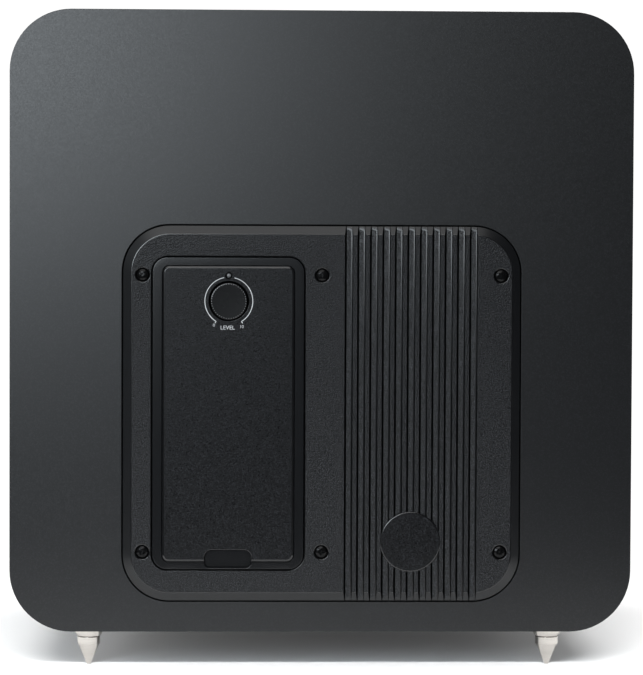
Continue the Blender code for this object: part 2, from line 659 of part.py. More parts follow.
def build_access_cover(rear):
    """Pull-off lid with a locating skirt, a knob hole, a light hole and a finger notch."""
    edge = 0.4
    front = PLATE_FACE + 0.2
    back = front + 2.5
    seat = LEDGE_DEPTH - edge
    outlines = []
    for inset in (edge, 0.0, COVER_SKIRT):
        outlines.append(rounded(COVER_WIDTH - 2 * inset, COVER_HEIGHT - 2 * inset, COVER_RADIUS - inset))
    face, whole, inside = outlines
    bm = bmesh.new()
    add_loft(bm, [(face, front), (whole, front + edge), (whole, seat), (inside, seat), (inside, back)])
    cover = make_object("access_cover", bm, "textured_black", rear, (BAY_X, 0.0, COVER_Z))
    notch_height = NOTCH_HEIGHT + 8.0
    notch_low = COVER_Z - COVER_HEIGHT / 2 - 8.0
    notch = rounded(NOTCH_WIDTH, notch_height, NOTCH_RADIUS, (BAY_X, notch_low + notch_height / 2), steps=3)
    through = 8.0
    cut_prism(cover, notch, OUTSIDE, through)
    cut_cylinders(cover, [KNOB_AT], KNOB_HOLE, OUTSIDE, through, 16)
    cut_cylinders(cover, [LIGHT_AT], LIGHT_HOLE, OUTSIDE, through, SMALL)


# ---------------------------------------------------------------- controls and sockets

def build_level_control(rear):
    knob = [(0.0, KNOB_FRONT), (10.3, KNOB_FRONT), (10.8, KNOB_FRONT + 0.4), (KNOB_RADIUS, -1.4),
            (KNOB_RADIUS, 6.0), (3.4, 6.0), (3.4, -2.0), (0.0, -2.0)]
    place = (KNOB_AT[0], 0.0, KNOB_AT[1])
    turned_object("level_knob", knob, 24, "smooth_black_plastic", rear, place)
    back = SHELF_FLOOR + BAY_WALL + GAP
    pot = [(0.0, -1.6), (3.0, -1.6), (3.0, 9.0), (3.7, 9.0), (3.7, back), (8.5, back),
           (8.5, back + 9.0), (0.0, back + 9.0)]
    turned_object("level_potentiometer", pot, SMALL, "zinc_steel", rear, place)
    light = [(0.0, PLATE_FACE + 0.1), (LIGHT_RADIUS, PLATE_FACE + 0.1), (LIGHT_RADIUS, back),
             (2.4, back), (2.4, back + 3.5), (0.0, back + 3.5)]
    turned_object("status_light_pipe", light, SMALL, "light_pipe", rear, (LIGHT_AT[0], 0.0, LIGHT_AT[1]))


def build_crossover_control(rear):
    front = BAY_FLOOR - 13.0
    knob = [(0.0, front), (8.4, front), (9.0, front + 0.8), (9.5, BAY_FLOOR - 1.0),
            (3.4, BAY_FLOOR - 1.0), (3.4, front + 3.5), (0.0, front + 3.5)]
    place = (CROSSOVER_AT[0], 0.0, CROSSOVER_AT[1])
    turned_object("crossover_knob", knob, MEDIUM, "smooth_black_plastic", rear, place)
    back = BAY_FLOOR + BAY_WALL + GAP
    pot = [(0.0, front + 3.9), (3.0, front + 3.9), (3.0, BAY_FLOOR - 0.6), (3.7, BAY_FLOOR - 0.6),
           (3.7, back), (8.5, back), (8.5, back + 9.0), (0.0, back + 9.0)]
    turned_object("crossover_potentiometer", pot, SMALL, "zinc_steel", rear, place)


def build_slide_switch(rear, name, at, slot_width, rest_x):
    """A nub in a slot, and the open-fronted body behind the bay's floor that guides it."""
    body_front = BAY_FLOOR + BAY_WALL + GAP
    body_back = body_front + 6.0
    bm = bmesh.new()
    add_prism(bm, rectangle(slot_width + 5.0, 9.0, at), body_front, body_back)
    body = make_object(f"{name}_switch_body", bm, "zinc_steel", rear)
    cut_prism(body, rectangle(slot_width, SLOT_HEIGHT, at), body_front - 2.0, body_back - 1.5)
    bm = bmesh.new()
    nub = rectangle(4.0, 3.2)
    nub_front = rectangle(3.2, 2.4)
    add_loft(bm, [(nub, body_back - 2.0), (nub, BAY_FLOOR - 2.6), (nub_front, BAY_FLOOR - 3.0)])
    make_object(f"{name}_slider", bm, "socket_black", rear, (at[0] + rest_x, 0.0, at[1]))


def build_mains_inlet(rear):
    """Snap-in appliance inlet with three recessed blades."""
    flange_front = BAY_FLOOR - GAP - 2.2
    bm = bmesh.new()
    body = rounded(27.4, 19.8, 1.5, INLET_AT, steps=2)
    flange = rounded(31.0, 24.0, 2.0, INLET_AT, steps=2)
    add_loft(bm, [(body, 82.0), (body, BAY_FLOOR - GAP), (flange, BAY_FLOOR - GAP), (flange, flange_front)])
    inlet = make_object("mains_inlet", bm, "socket_black", rear)
    floor = flange_front + 16.0
    cut_prism(inlet, rounded(24.5, 16.5, 2.5, INLET_AT, steps=2), flange_front - 3.0, floor)
    bm = bmesh.new()
    for x, z in ((-7.0, -2.0), (0.0, 2.0), (7.0, -2.0)):
        add_prism(bm, rectangle(2.0, 4.0, (INLET_AT[0] + x, INLET_AT[1] + z)), flange_front + 5.4, floor + 1.0)
    boolean(inlet, bm, "UNION")


def build_mains_rocker(rear):
    flange_front = BAY_FLOOR - GAP - 2.0
    bm = bmesh.new()
    body = rectangle(19.0, 26.0, ROCKER_AT)
    flange = rectangle(22.0, 29.5, ROCKER_AT)
    add_loft(bm, [(body, 80.0), (body, BAY_FLOOR - GAP), (flange, BAY_FLOOR - GAP), (flange, flange_front)])
    frame = make_object("mains_rocker_frame", bm, "socket_black", rear)
    cut_prism(frame, rectangle(14.0, 23.0, ROCKER_AT), flange_front - 3.0, 76.0)
    profile = [(-3.4, -10.3), (-1.2, 0.0), (-3.4, 10.3), (2.5, 10.0), (6.5, 5.0), (7.5, 0.0),
               (6.5, -5.0), (2.5, -10.0)]
    bm = bmesh.new()
    add_side_prism(bm, profile, -6.6, 6.6)
    make_object("mains_rocker", bm, "socket_black", rear, (ROCKER_AT[0], BAY_FLOOR, ROCKER_AT[1]), ROCKER_TILT)


def socket_places():
    return [(BAY_X + side * SOCKET_PITCH, SOCKETS_Z) for side in (-1, 0, 1)]


def build_input_sockets(rear):
    """One moulded block with three phono sockets: left, right and low-frequency effects."""
    back = BAY_FLOOR + BAY_WALL + GAP
    bm = bmesh.new()
    add_prism(bm, rectangle(64.0, 15.0, (BAY_X, SOCKETS_Z)), back, back + 12.0)
    block = make_object("input_socket_block", bm, "socket_black", rear)
    bm = bmesh.new()
    add_cylinders(bm, socket_places(), 4.2, BAY_FLOOR - 9.0, back + 2.0)
    boolean(block, bm, "UNION")
    cut_cylinders(block, socket_places(), 1.7, BAY_FLOOR - 12.0, BAY_FLOOR + 5.0, 12)


def build_electronics(rear):
    bm = bmesh.new()
    add_prism(bm, rounded(204.0, 196.0, 2.0, steps=2), BOARD_DEPTH, BOARD_DEPTH + 1.6)
    make_object("amplifier_board", bm, "circuit_board", rear)

    base_front = PLATE_BACK + GAP
    base_back = base_front + 5.0
    fins, fin_pitch, fin_width, fin_back = 9, 9.4, 2.4, 40.0
    outline_x, outline_width = 46.0, 110.0
    bm = bmesh.new()
    add_prism(bm, rectangle(outline_width, 194.0, (outline_x, 0.0)), base_front, base_back)
    spreader = make_object("heat_spreader", bm, "aluminium", rear)
    bm = bmesh.new()
    for fin in range(fins):
        x = 21.0 + fin * fin_pitch
        add_prism(bm, rectangle(fin_width, 87.0, (x, 51.5)), base_back - 1.0, fin_back)
    boolean(spreader, bm, "UNION")
    cut_cylinders(spreader, [(0.0, SCREW_Z), (0.0, -SCREW_Z)], SCREW_HOLE, 1.0, 12.0, 12)

    low, high = base_back + GAP, base_back + 35.0
    toroid = [(14.0, low + 5.0), (19.0, low), (41.0, low), (46.0, low + 5.0),
              (46.0, high - 5.0), (41.0, high), (19.0, high), (14.0, high - 5.0)]
    turned_object("toroidal_transformer", toroid, MEDIUM, "winding_tape", rear, (46.0, 0.0, -48.0))


def main():
    clear_scene()
    front = frame_empty("front_frame", FRONT_Y, CENTRE_Z)
    rear = frame_empty("rear_frame", REAR_Y, PLATE_Z, math.pi)
    build_wrap(front)
    build_baffle(front)
    build_rear_panel(rear)
    build_brace(front)
    build_feet()
    build_basket(front)
    build_woofer_seal(front)
    build_motor(front)
    build_cone_assembly(front)
    build_amp_plate(rear)
    build_amp_gasket(rear)
    build_amp_screws(rear)
    build_control_bay(rear)
    build_access_cover(rear)
    build_level_control(rear)
    build_crossover_control(rear)
    build_slide_switch(rear, "phase", PHASE_AT, PHASE_SLOT, -2.3)
    build_slide_switch(rear, "power_mode", MODE_AT, MODE_SLOT, 0.0)
    build_mains_inlet(rear)
    build_mains_rocker(rear)
    build_input_sockets(rear)
    build_electronics(rear)


main()
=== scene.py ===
"""Looks of a powered subwoofer, seen from behind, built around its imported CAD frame.

Local frames are in millimetres. FRONT has x to the right and y into the cabinet from the baffle's face.
REAR is turned half round: x to the right as seen from behind, y into the cabinet from its rear face.
"""

import json
import math

import bmesh
import bpy
from mathutils import Matrix, Vector


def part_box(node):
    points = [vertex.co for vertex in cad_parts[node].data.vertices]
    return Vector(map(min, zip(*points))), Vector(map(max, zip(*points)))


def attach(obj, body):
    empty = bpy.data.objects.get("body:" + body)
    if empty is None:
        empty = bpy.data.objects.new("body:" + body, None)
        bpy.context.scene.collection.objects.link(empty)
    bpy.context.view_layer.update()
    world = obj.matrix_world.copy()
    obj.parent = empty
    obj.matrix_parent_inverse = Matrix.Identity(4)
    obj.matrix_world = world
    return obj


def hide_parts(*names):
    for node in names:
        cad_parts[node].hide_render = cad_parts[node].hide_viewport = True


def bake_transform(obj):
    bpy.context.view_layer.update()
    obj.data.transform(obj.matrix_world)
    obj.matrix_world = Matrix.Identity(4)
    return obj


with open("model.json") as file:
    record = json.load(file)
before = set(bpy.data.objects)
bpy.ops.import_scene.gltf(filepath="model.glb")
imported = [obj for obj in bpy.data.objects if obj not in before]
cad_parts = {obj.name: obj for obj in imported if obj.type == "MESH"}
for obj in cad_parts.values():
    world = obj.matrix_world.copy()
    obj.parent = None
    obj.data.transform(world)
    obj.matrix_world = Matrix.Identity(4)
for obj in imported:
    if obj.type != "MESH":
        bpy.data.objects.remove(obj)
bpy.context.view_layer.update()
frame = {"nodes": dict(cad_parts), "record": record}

MM = 0.001
FULL_TURN = 2 * math.pi


def span(node, axis):
    """Lowest and highest place of a CAD node along an axis, in millimetres."""
    low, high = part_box(node)
    return low[axis] / MM, high[axis] / MM


def middle(node, axis):
    return sum(span(node, axis)) / 2


def length(node, axis):
    low, high = span(node, axis)
    return high - low


def seen_from_behind(node):
    """Middle of a CAD node in the REAR frame, as (x, z)."""
    return -middle(node, 0), middle(node, 2) - PLATE_Z


CABINET_WIDTH = length("cabinet_wrap", 0)
CABINET_HEIGHT = length("cabinet_wrap", 2)
FRONT_Y = span("front_baffle", 1)[0]
REAR_Y = span("rear_panel", 1)[1]
CABINET_DEPTH = REAR_Y - FRONT_Y
CENTRE_Z = middle("cabinet_wrap", 2)
PLATE_Z = middle("amp_plate", 2)
CORNER_RADIUS = 39.5
WALL = 15.0
GAP = 0.3
OUTSIDE = -6.0
CUTOUT = (214.0, 216.0, 12.0)
RECESS_DEPTH = 5.4
PANEL_DEPTH = 18.0
BAFFLE_DEPTH = 25.0
REBATE_RADIUS = 156.8
REBATE_DEPTH = 7.6
MOUTH_RADIUS = 144.4
INSERT_HOLE = 6.3

PLATE_WIDTH = length("amp_plate", 0)
PLATE_HEIGHT = length("amp_plate", 2)
PLATE_RADIUS = 30.0
PLATE_FACE = -1.8
PLATE_BACK = REAR_Y - span("amp_plate", 1)[0]
PLATE_GAP = 0.8
BEVEL = 5.4

BAY_X = -middle("control_bay", 0)
BAY_WIDTH = length("control_bay", 0)
BAY_HEIGHT = length("control_bay", 2)
BAY_RADIUS = 10.0
BEZEL_WIDTH = BAY_WIDTH - 0.9
BEZEL_HEIGHT = BAY_HEIGHT - 1.7
BEZEL_GAP = 0.85
COVER_WIDTH = length("access_cover", 0)
COVER_HEIGHT = length("access_cover", 2) + 0.4
COVER_Z = middle("access_cover", 2) - PLATE_Z + 0.2
COVER_RADIUS = 4.5
COVER_FACE = REAR_Y - span("access_cover", 1)[1]
BAY_FLOOR = 65.0
SHELF_FLOOR = 14.0
SHELF_Z = 46.0
NOTCH_WIDTH = 30.5
NOTCH_HEIGHT = 7.6
SCOOP_HEIGHT = 3.7
SCOOP_FLOOR = 1.6
WELL_FLOOR = 1.62
TUB_STEP = 2.2
SHAFT_HOLE = 4.1
LIGHT_HOLE = SHAFT_HOLE * 0.42
SOCKET_HOLE = 4.7
POST_END = 83.7

KNOB_AT = seen_from_behind("level_knob")
KNOB_HOLE = 12.75
KNOB_FRONT = REAR_Y - span("level_knob", 1)[1]
KNOB_BACK = REAR_Y - span("level_knob", 1)[0]
KNOB_RADIUS = length("level_knob", 0) / 2 + 0.2
LIGHT_AT = (KNOB_AT[0], middle("status_light_pipe", 2) - PLATE_Z)
DIAL_RADIUS = 15.35
DIAL_SWEEP = 148.0

FRONT = Matrix.Translation((0, FRONT_Y * MM, CENTRE_Z * MM)) @ Matrix.Scale(MM, 4)
REAR = (Matrix.Translation((0, REAR_Y * MM, PLATE_Z * MM))
        @ Matrix.Rotation(math.pi, 4, "Z") @ Matrix.Scale(MM, 4))
UPRIGHT = Matrix.Scale(MM, 4)

CORNER_STEPS = 16
LOOP_POINTS = 4 * (CORNER_STEPS + 1)
ROUND_SEGMENTS = 192
FLECK_EDGE = 0.16
BAND_PITCH = 0.314


# ---------------------------------------------------------------- outlines and profiles

def rounded(width, height, radius, centre=(0.0, 0.0)):
    """Rounded rectangle with a fixed number of points, anticlockwise from its right side."""
    points = []
    for corner, (side, up) in enumerate(((1, 1), (-1, 1), (-1, -1), (1, -1))):
        x = centre[0] + side * (width / 2 - radius)
        z = centre[1] + up * (height / 2 - radius)
        for step in range(CORNER_STEPS + 1):
            angle = math.pi / 2 * (corner + step / CORNER_STEPS)
            points.append((x + radius * math.cos(angle), z + radius * math.sin(angle)))
    return points


def circle(radius, count=LOOP_POINTS, centre=(0.0, 0.0)):
    """Circle whose points pair up with those of a rounded rectangle."""
    angles = [FULL_TURN * (i + 0.5) / count for i in range(count)]
    return [(centre[0] + radius * math.cos(a), centre[1] + radius * math.sin(a)) for a in angles]


def rectangle(width, height, centre=(0.0, 0.0)):
    x, z = centre
    w, h = width / 2, height / 2
    return [(x + w, z - h), (x + w, z + h), (x - w, z + h), (x - w, z - h)]


def soften(profile, radius, steps=3, closed=False):
    """Round a profile's corners. A third number on a point is its own radius."""
    smooth = []
    last = len(profile) - 1
    for index, point in enumerate(profile):
        corner = Vector(point[:2])
        size = point[2] if len(point) > 2 else radius
        if size == 0 or (not closed and index in (0, last)):
            smooth.append(tuple(corner))
            continue
        before = Vector(profile[index - 1][:2]) - corner
        after = Vector(profile[(index + 1) % len(profile)][:2]) - corner
        half = before.angle(after) / 2
        reach = min(size / math.tan(half), 0.48 * before.length, 0.48 * after.length)
        start = corner + before.normalized() * reach
        end = corner + after.normalized() * reach
        for step in range(steps + 1):
            t = step / steps
            smooth.append(tuple((1 - t) ** 2 * start + 2 * t * (1 - t) * corner + t * t * end))
    return smooth


def inset_loops(width, height, radius, centre, profile):
    """Rounded rectangles along a profile of (inset, depth) points."""
    loops = []
    for inset, depth in profile:
        outline = rounded(width - 2 * inset, height - 2 * inset, max(radius - inset, 0.1), centre)
        loops.append((outline, depth))
    return loops


# ---------------------------------------------------------------- meshes

def loft(bm, loops, closed=False, materials=0):
    """Skin between outlines of equal point counts, each (points, depth), closed by caps or into a ring."""
    rings = [[bm.verts.new((x, depth, z)) for x, z in points] for points, depth in loops]
    following = rings[1:] + (rings[:1] if closed else [])
    for index, (ring, other) in enumerate(zip(rings, following)):
        chosen = materials if isinstance(materials, int) else materials[index]
        for i in range(len(ring)):
            j = (i + 1) % len(ring)
            face = bm.faces.new((ring[i], ring[j], other[j], other[i]))
            face.material_index = chosen
    if not closed:
        for ring, index in ((rings[0], 0), (rings[-1], -1)):
            face = bm.faces.new(ring)
            face.material_index = materials if isinstance(materials, int) else materials[index]


def prism(bm, outline, start, end, material=0):
    loft(bm, [(outline, start), (outline, end)], materials=material)


def by_depth(points, limit, shallow, shaded):
    """Material of each part of a profile: one in front of a depth, another for what lies deeper."""
    following = list(points[1:]) + [points[-1]]
    return [shaded if (a[1] + b[1]) / 2 > limit else shallow for a, b in zip(points, following)]


def rod(radius, start, end):
    """Profile of a plain cylinder between two depths."""
    return [(0.0, start), (radius, start), (radius, end), (0.0, end)]


def turn(bm, profile, segments=64, centre=(0.0, 0.0), upright=False, closed=False, material=0,
         wave=None):
    """Spin a profile of (radius, depth) points. A third number scales the wave on the radius."""
    rings = []
    for point in profile:
        radius, depth = point[:2]
        weight = point[2] if len(point) > 2 else 0.0
        ring = []
        for i in range(segments if radius > 1e-6 else 1):
            angle = FULL_TURN * i / segments
            reach = radius + (weight * wave(angle) if wave else 0.0)
            x = centre[0] + reach * math.cos(angle)
            z = centre[1] + reach * math.sin(angle)
            ring.append(bm.verts.new((x, z, depth) if upright else (x, depth, z)))
        rings.append(ring)
    following = rings[1:] + (rings[:1] if closed else [])
    for index, (ring, other) in enumerate(zip(rings, following)):
        chosen = material if isinstance(material, int) else material[index]
        for i in range(segments):
            j = (i + 1) % segments
            corners = [ring[i % len(ring)], ring[j % len(ring)], other[j % len(other)], other[i % len(other)]]
            corners = [v for n, v in enumerate(corners) if v not in corners[:n]]
            if len(corners) > 2:
                bm.faces.new(corners).material_index = chosen


def draft(name, bm, materials):
    """Object of a mesh under construction, still in local millimetres."""
    bmesh.ops.recalc_face_normals(bm, faces=bm.faces)
    mesh = bpy.data.meshes.new(name)
    bm.to_mesh(mesh)
    bm.free()
    for material in materials:
        mesh.materials.append(material)
    obj = bpy.data.objects.new(name, mesh)
    bpy.context.scene.collection.objects.link(obj)
    return obj


def carve(obj, bm, operation="DIFFERENCE"):
    """Boolean with the shapes in bm, which name the object's own material slots."""
    cutter = draft("cutter", bm, list(obj.data.materials))
    modifier = obj.modifiers.new("carve", "BOOLEAN")
    modifier.operation = operation
    modifier.solver = "EXACT"
    modifier.object = cutter
    bpy.context.view_layer.update()
    evaluated = obj.evaluated_get(bpy.context.evaluated_depsgraph_get())
    mesh = bpy.data.meshes.new_from_object(evaluated)
    obj.modifiers.clear()
    old = obj.data
    obj.data = mesh
    mesh.name = obj.name
    bpy.data.meshes.remove(old)
    bpy.data.objects.remove(cutter)


def settle(obj, place, body, slot, *replaced, sharp=32.0, weighted=True):
    """Put a finished draft in the frame, smooth it and let it ride on its body."""
    obj.data.transform(place)
    obj.data.shade_smooth()
    obj.data.set_sharp_from_angle(angle=math.radians(sharp))
    if weighted:
        modifier = obj.modifiers.new("weighted", "WEIGHTED_NORMAL")
        modifier.keep_sharp = True
    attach(obj, body)
    if replaced:
        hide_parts(*replaced)
    return obj


# ---------------------------------------------------------------- materials

def new_material(name):
    material = bpy.data.materials.new(name)
    material.use_nodes = True
    return material, material.node_tree.nodes, material.node_tree.links


def noise_node(nodes, links, coordinates, size, detail=2.0):
    """Noise whose features are about size millimetres across."""
    noise = nodes.new("ShaderNodeTexNoise")
    noise.inputs["Scale"].default_value = 1 / (size * MM)
    noise.inputs["Detail"].default_value = detail
    noise.inputs["Roughness"].default_value = 0.5
    links.new(coordinates, noise.inputs["Vector"])
    return noise.outputs["Fac"]


def pebble_node(nodes, links, coordinates, size):
    """Little domes about size millimetres across, as a moulded grain has."""
    cells = nodes.new("ShaderNodeTexVoronoi")
    cells.inputs["Scale"].default_value = 1 / (size * MM)
    links.new(coordinates, cells.inputs["Vector"])
    return spread(nodes, links, cells.outputs["Distance"], 1.0, 0.0, 0.0, 0.6)


def spread(nodes, links, value, low, high, start=0.3, end=0.7):
    """Value from start to end mapped to low to high."""
    node = nodes.new("ShaderNodeMapRange")
    node.inputs["From Min"].default_value = start
    node.inputs["From Max"].default_value = end
    node.inputs["To Min"].default_value = low
    node.inputs["To Max"].default_value = high
    links.new(value, node.inputs["Value"])
    return node.outputs["Result"]


def tint(nodes, links, factor, dark, light):
    node = nodes.new("ShaderNodeMix")
    node.data_type = "RGBA"
    node.inputs["A"].default_value = (*dark, 1.0)
    node.inputs["B"].default_value = (*light, 1.0)
    links.new(factor, node.inputs["Factor"])
    return node.outputs["Result"]


def raise_bump(nodes, links, height, depth, below=None):
    node = nodes.new("ShaderNodeBump")
    node.inputs["Distance"].default_value = depth * MM
    node.inputs["Strength"].default_value = 1.0
    links.new(height, node.inputs["Height"])
    if below:
        links.new(below, node.inputs["Normal"])
    return node.outputs["Normal"]


def finish_of(name, colour, roughness, metallic=0.0, grain=(0.8, 0.03), swell=(9.0, 0.0), variation=0.12,
              rough_range=0.06, specular=0.5, stretch=(1.0, 1.0, 1.0), speckle=None, sheen=0.0, detail=2.0,
              pebbles=None):
    """Procedural surface: grain and swell are (feature size, height) in millimetres."""
    material, nodes, links = new_material(name)
    shader = nodes["Principled BSDF"]
    place = nodes.new("ShaderNodeTexCoord").outputs["Object"]
    if stretch != (1.0, 1.0, 1.0):
        mapping = nodes.new("ShaderNodeMapping")
        mapping.inputs["Scale"].default_value = stretch
        links.new(place, mapping.inputs["Vector"])
        place = mapping.outputs["Vector"]
    fine = noise_node(nodes, links, place, grain[0], detail)
    broad = noise_node(nodes, links, place, swell[0], 3.0)
    dark = [c * (1 - variation) for c in colour]
    light = [min(c * (1 + variation), 1.0) for c in colour]
    shade = tint(nodes, links, spread(nodes, links, broad, 0.0, 1.0), dark, light)
    if speckle:
        size, lift, start = speckle
        dots = noise_node(nodes, links, place, size, 1.0)
        flecks = spread(nodes, links, dots, 0.0, 1.0, start, start + FLECK_EDGE)
        mix = nodes.new("ShaderNodeMix")
        mix.data_type = "RGBA"
        mix.inputs["B"].default_value = (*[c * lift for c in colour], 1.0)
        links.new(shade, mix.inputs["A"])
        links.new(flecks, mix.inputs["Factor"])
        shade = mix.outputs["Result"]
    links.new(shade, shader.inputs["Base Color"])
    low, high = roughness - rough_range, roughness + rough_range
    links.new(spread(nodes, links, fine, low, high), shader.inputs["Roughness"])
    normal = raise_bump(nodes, links, fine, grain[1])
    if swell[1]:
        normal = raise_bump(nodes, links, broad, swell[1], normal)
    if pebbles:
        normal = raise_bump(nodes, links, pebble_node(nodes, links, place, pebbles[0]), pebbles[1], normal)
    links.new(normal, shader.inputs["Normal"])
    shader.inputs["Metallic"].default_value = metallic
    shader.inputs["Specular IOR Level"].default_value = specular
    if sheen:
        shader.inputs["Sheen Weight"].default_value = sheen
    return material


def banded(name, colour, roughness, axis, pitch, depth, metallic=0.0):
    """Surface with fine parallel bands across an axis, such as turns of wire."""
    material = finish_of(name, colour, roughness, metallic, grain=(0.6, 0.01))
    nodes, links = material.node_tree.nodes, material.node_tree.links
    shader = nodes["Principled BSDF"]
    wave = nodes.new("ShaderNodeTexWave")
    wave.wave_type = "BANDS"
    wave.bands_direction = axis
    wave.inputs["Scale"].default_value = 1 / (pitch * MM) * BAND_PITCH
    links.new(nodes["Texture Coordinate"].outputs["Object"], wave.inputs["Vector"])
    below = shader.inputs["Normal"].links[0].from_socket
    links.new(raise_bump(nodes, links, wave.outputs["Fac"], depth, below), shader.inputs["Normal"])
    return material


SURFACES = {
    "satin_black_paint": finish_of("satin_black_paint", (0.0063, 0.0066, 0.0074), 0.33, grain=(0.9, 0.006),
                                   swell=(2.6, 0.008), variation=0.10, rough_range=0.03, specular=0.42,
                                   speckle=(0.8, 1.9, 0.50)),
    "raw_mdf": finish_of("raw_mdf", (0.36, 0.24, 0.14), 0.88, grain=(0.5, 0.05), variation=0.2),
    "nickel_steel": finish_of("nickel_steel", (0.56, 0.53, 0.495), 0.15, 1.0, grain=(0.5, 0.003),
                              stretch=(0.4, 0.4, 5.0), variation=0.05, rough_range=0.04),
    "zinc_steel": finish_of("zinc_steel", (0.55, 0.55, 0.56), 0.42, 1.0, grain=(1.4, 0.01), variation=0.12),
    "brass": finish_of("brass", (0.72, 0.54, 0.25), 0.35, 1.0, grain=(0.6, 0.006), variation=0.08),
    "cast_black": finish_of("cast_black", (0.020, 0.020, 0.021), 0.5, 0.3, grain=(0.8, 0.06)),
    "foam_gasket": finish_of("foam_gasket", (0.03, 0.03, 0.03), 0.95, grain=(0.7, 0.2), variation=0.3),
    "trim_plastic": finish_of("trim_plastic", (0.014, 0.014, 0.015), 0.40, grain=(0.5, 0.010),
                              swell=(7.0, 0.02)),
    "black_rubber": finish_of("black_rubber", (0.016, 0.016, 0.0165), 0.55, grain=(0.7, 0.02),
                              swell=(12.0, 0.03), variation=0.15, rough_range=0.08),
    "cone_paper": finish_of("cone_paper", (0.022, 0.022, 0.024), 0.58, grain=(0.9, 0.09), swell=(6.0, 0.10),
                            variation=0.35, rough_range=0.10, stretch=(1.0, 0.35, 1.0), detail=5.0),
    "ferrite": finish_of("ferrite", (0.07, 0.068, 0.066), 0.7, grain=(0.4, 0.05), variation=0.2),
    "kapton": finish_of("kapton", (0.50, 0.27, 0.08), 0.3, grain=(2.0, 0.01)),
    "copper": banded("copper", (0.80, 0.40, 0.22), 0.3, "Y", 0.5, 0.12, 1.0),
    "spider_cloth": finish_of("spider_cloth", (0.60, 0.48, 0.26), 0.9, grain=(0.6, 0.25), variation=0.2,
                              sheen=0.2),
    "textured_black": finish_of("textured_black", (0.0040, 0.0042, 0.0048), 0.31, grain=(0.5, 0.02),
                                swell=(2.0, 0.02), variation=0.15, rough_range=0.06, specular=0.25,
                                speckle=(0.72, 8.0, 0.51), detail=1.0, pebbles=(0.95, 0.18)),
    "cover_plastic": finish_of("cover_plastic", (0.0044, 0.0046, 0.0052), 0.30, grain=(1.0, 0.015),
                               swell=(3.0, 0.006), variation=0.14, rough_range=0.04, specular=0.17,
                               speckle=(0.85, 4.0, 0.50), detail=1.0, pebbles=(1.0, 0.06)),
    "smooth_black_plastic": finish_of("smooth_black_plastic", (0.0060, 0.0064, 0.0073), 0.21,
                                      grain=(0.5, 0.003), swell=(6.0, 0.004), variation=0.06,
                                      rough_range=0.02, specular=0.30),
    "knob_plastic": finish_of("knob_plastic", (0.0055, 0.0057, 0.0061), 0.22, grain=(0.4, 0.003),
                              variation=0.08, rough_range=0.02, specular=0.22),
    "black_oxide": finish_of("black_oxide", (0.0035, 0.0035, 0.0037), 0.18, grain=(0.4, 0.01),
                             variation=0.2, rough_range=0.04, specular=0.16),
    "light_pipe": finish_of("light_pipe", (0.15, 0.154, 0.158), 0.35, grain=(0.3, 0.01)),
    "socket_black": finish_of("socket_black", (0.016, 0.016, 0.017), 0.48, grain=(0.35, 0.02)),
    "aluminium": finish_of("aluminium", (0.70, 0.70, 0.72), 0.38, 1.0, grain=(0.5, 0.01),
                           stretch=(6.0, 6.0, 0.3)),
    "circuit_board": finish_of("circuit_board", (0.02, 0.14, 0.06), 0.4, grain=(1.2, 0.03),
                               swell=(5.0, 0.05), variation=0.4),
    "winding_tape": banded("winding_tape", (0.75, 0.62, 0.16), 0.4, "DIAGONAL", 6.0, 0.3),
}
EDGE = finish_of("moulded_edge", (0.0062, 0.0066, 0.0075), 0.30, grain=(0.5, 0.003), variation=0.06,
                 rough_range=0.02, specular=0.42)
SHINE = finish_of("polished_edge", (0.0070, 0.0073, 0.0080), 0.17, grain=(0.5, 0.002), variation=0.05,
                  rough_range=0.02, specular=0.52)
# Light grey dots on the knob's tooth tips: painted highlights standing for the glint each tooth catches.
TOOTH_GLINT = finish_of("painted_tooth_glint", (0.26, 0.26, 0.265), 0.30, grain=(0.3, 0.005), variation=0.06)
# Near-black, almost unreflecting surface laid on the walls and floors of gaps, slots and recesses: painted
# shade that stands for the shade falling there.
PAINTED_SHADE = finish_of("painted_shade_inside", (0.0018, 0.0018, 0.0020), 0.60, grain=(0.6, 0.01), variation=0.1,
                 specular=0.06)
PRINT = finish_of("white_print", (0.72, 0.73, 0.74), 0.55, grain=(0.3, 0.01), variation=0.06)


def dress_cad_nodes():
    """Give every CAD node the procedural surface of its material slot."""
    for row in frame["record"]["subparts"]:
        node = frame["nodes"][row["node"]]
        surface = SURFACES[row["material_slot"]]
        if not node.data.materials:
            node.data.materials.append(surface)
        for index in range(len(node.data.materials)):
            node.data.materials[index] = surface


# ---------------------------------------------------------------- cabinet and feet

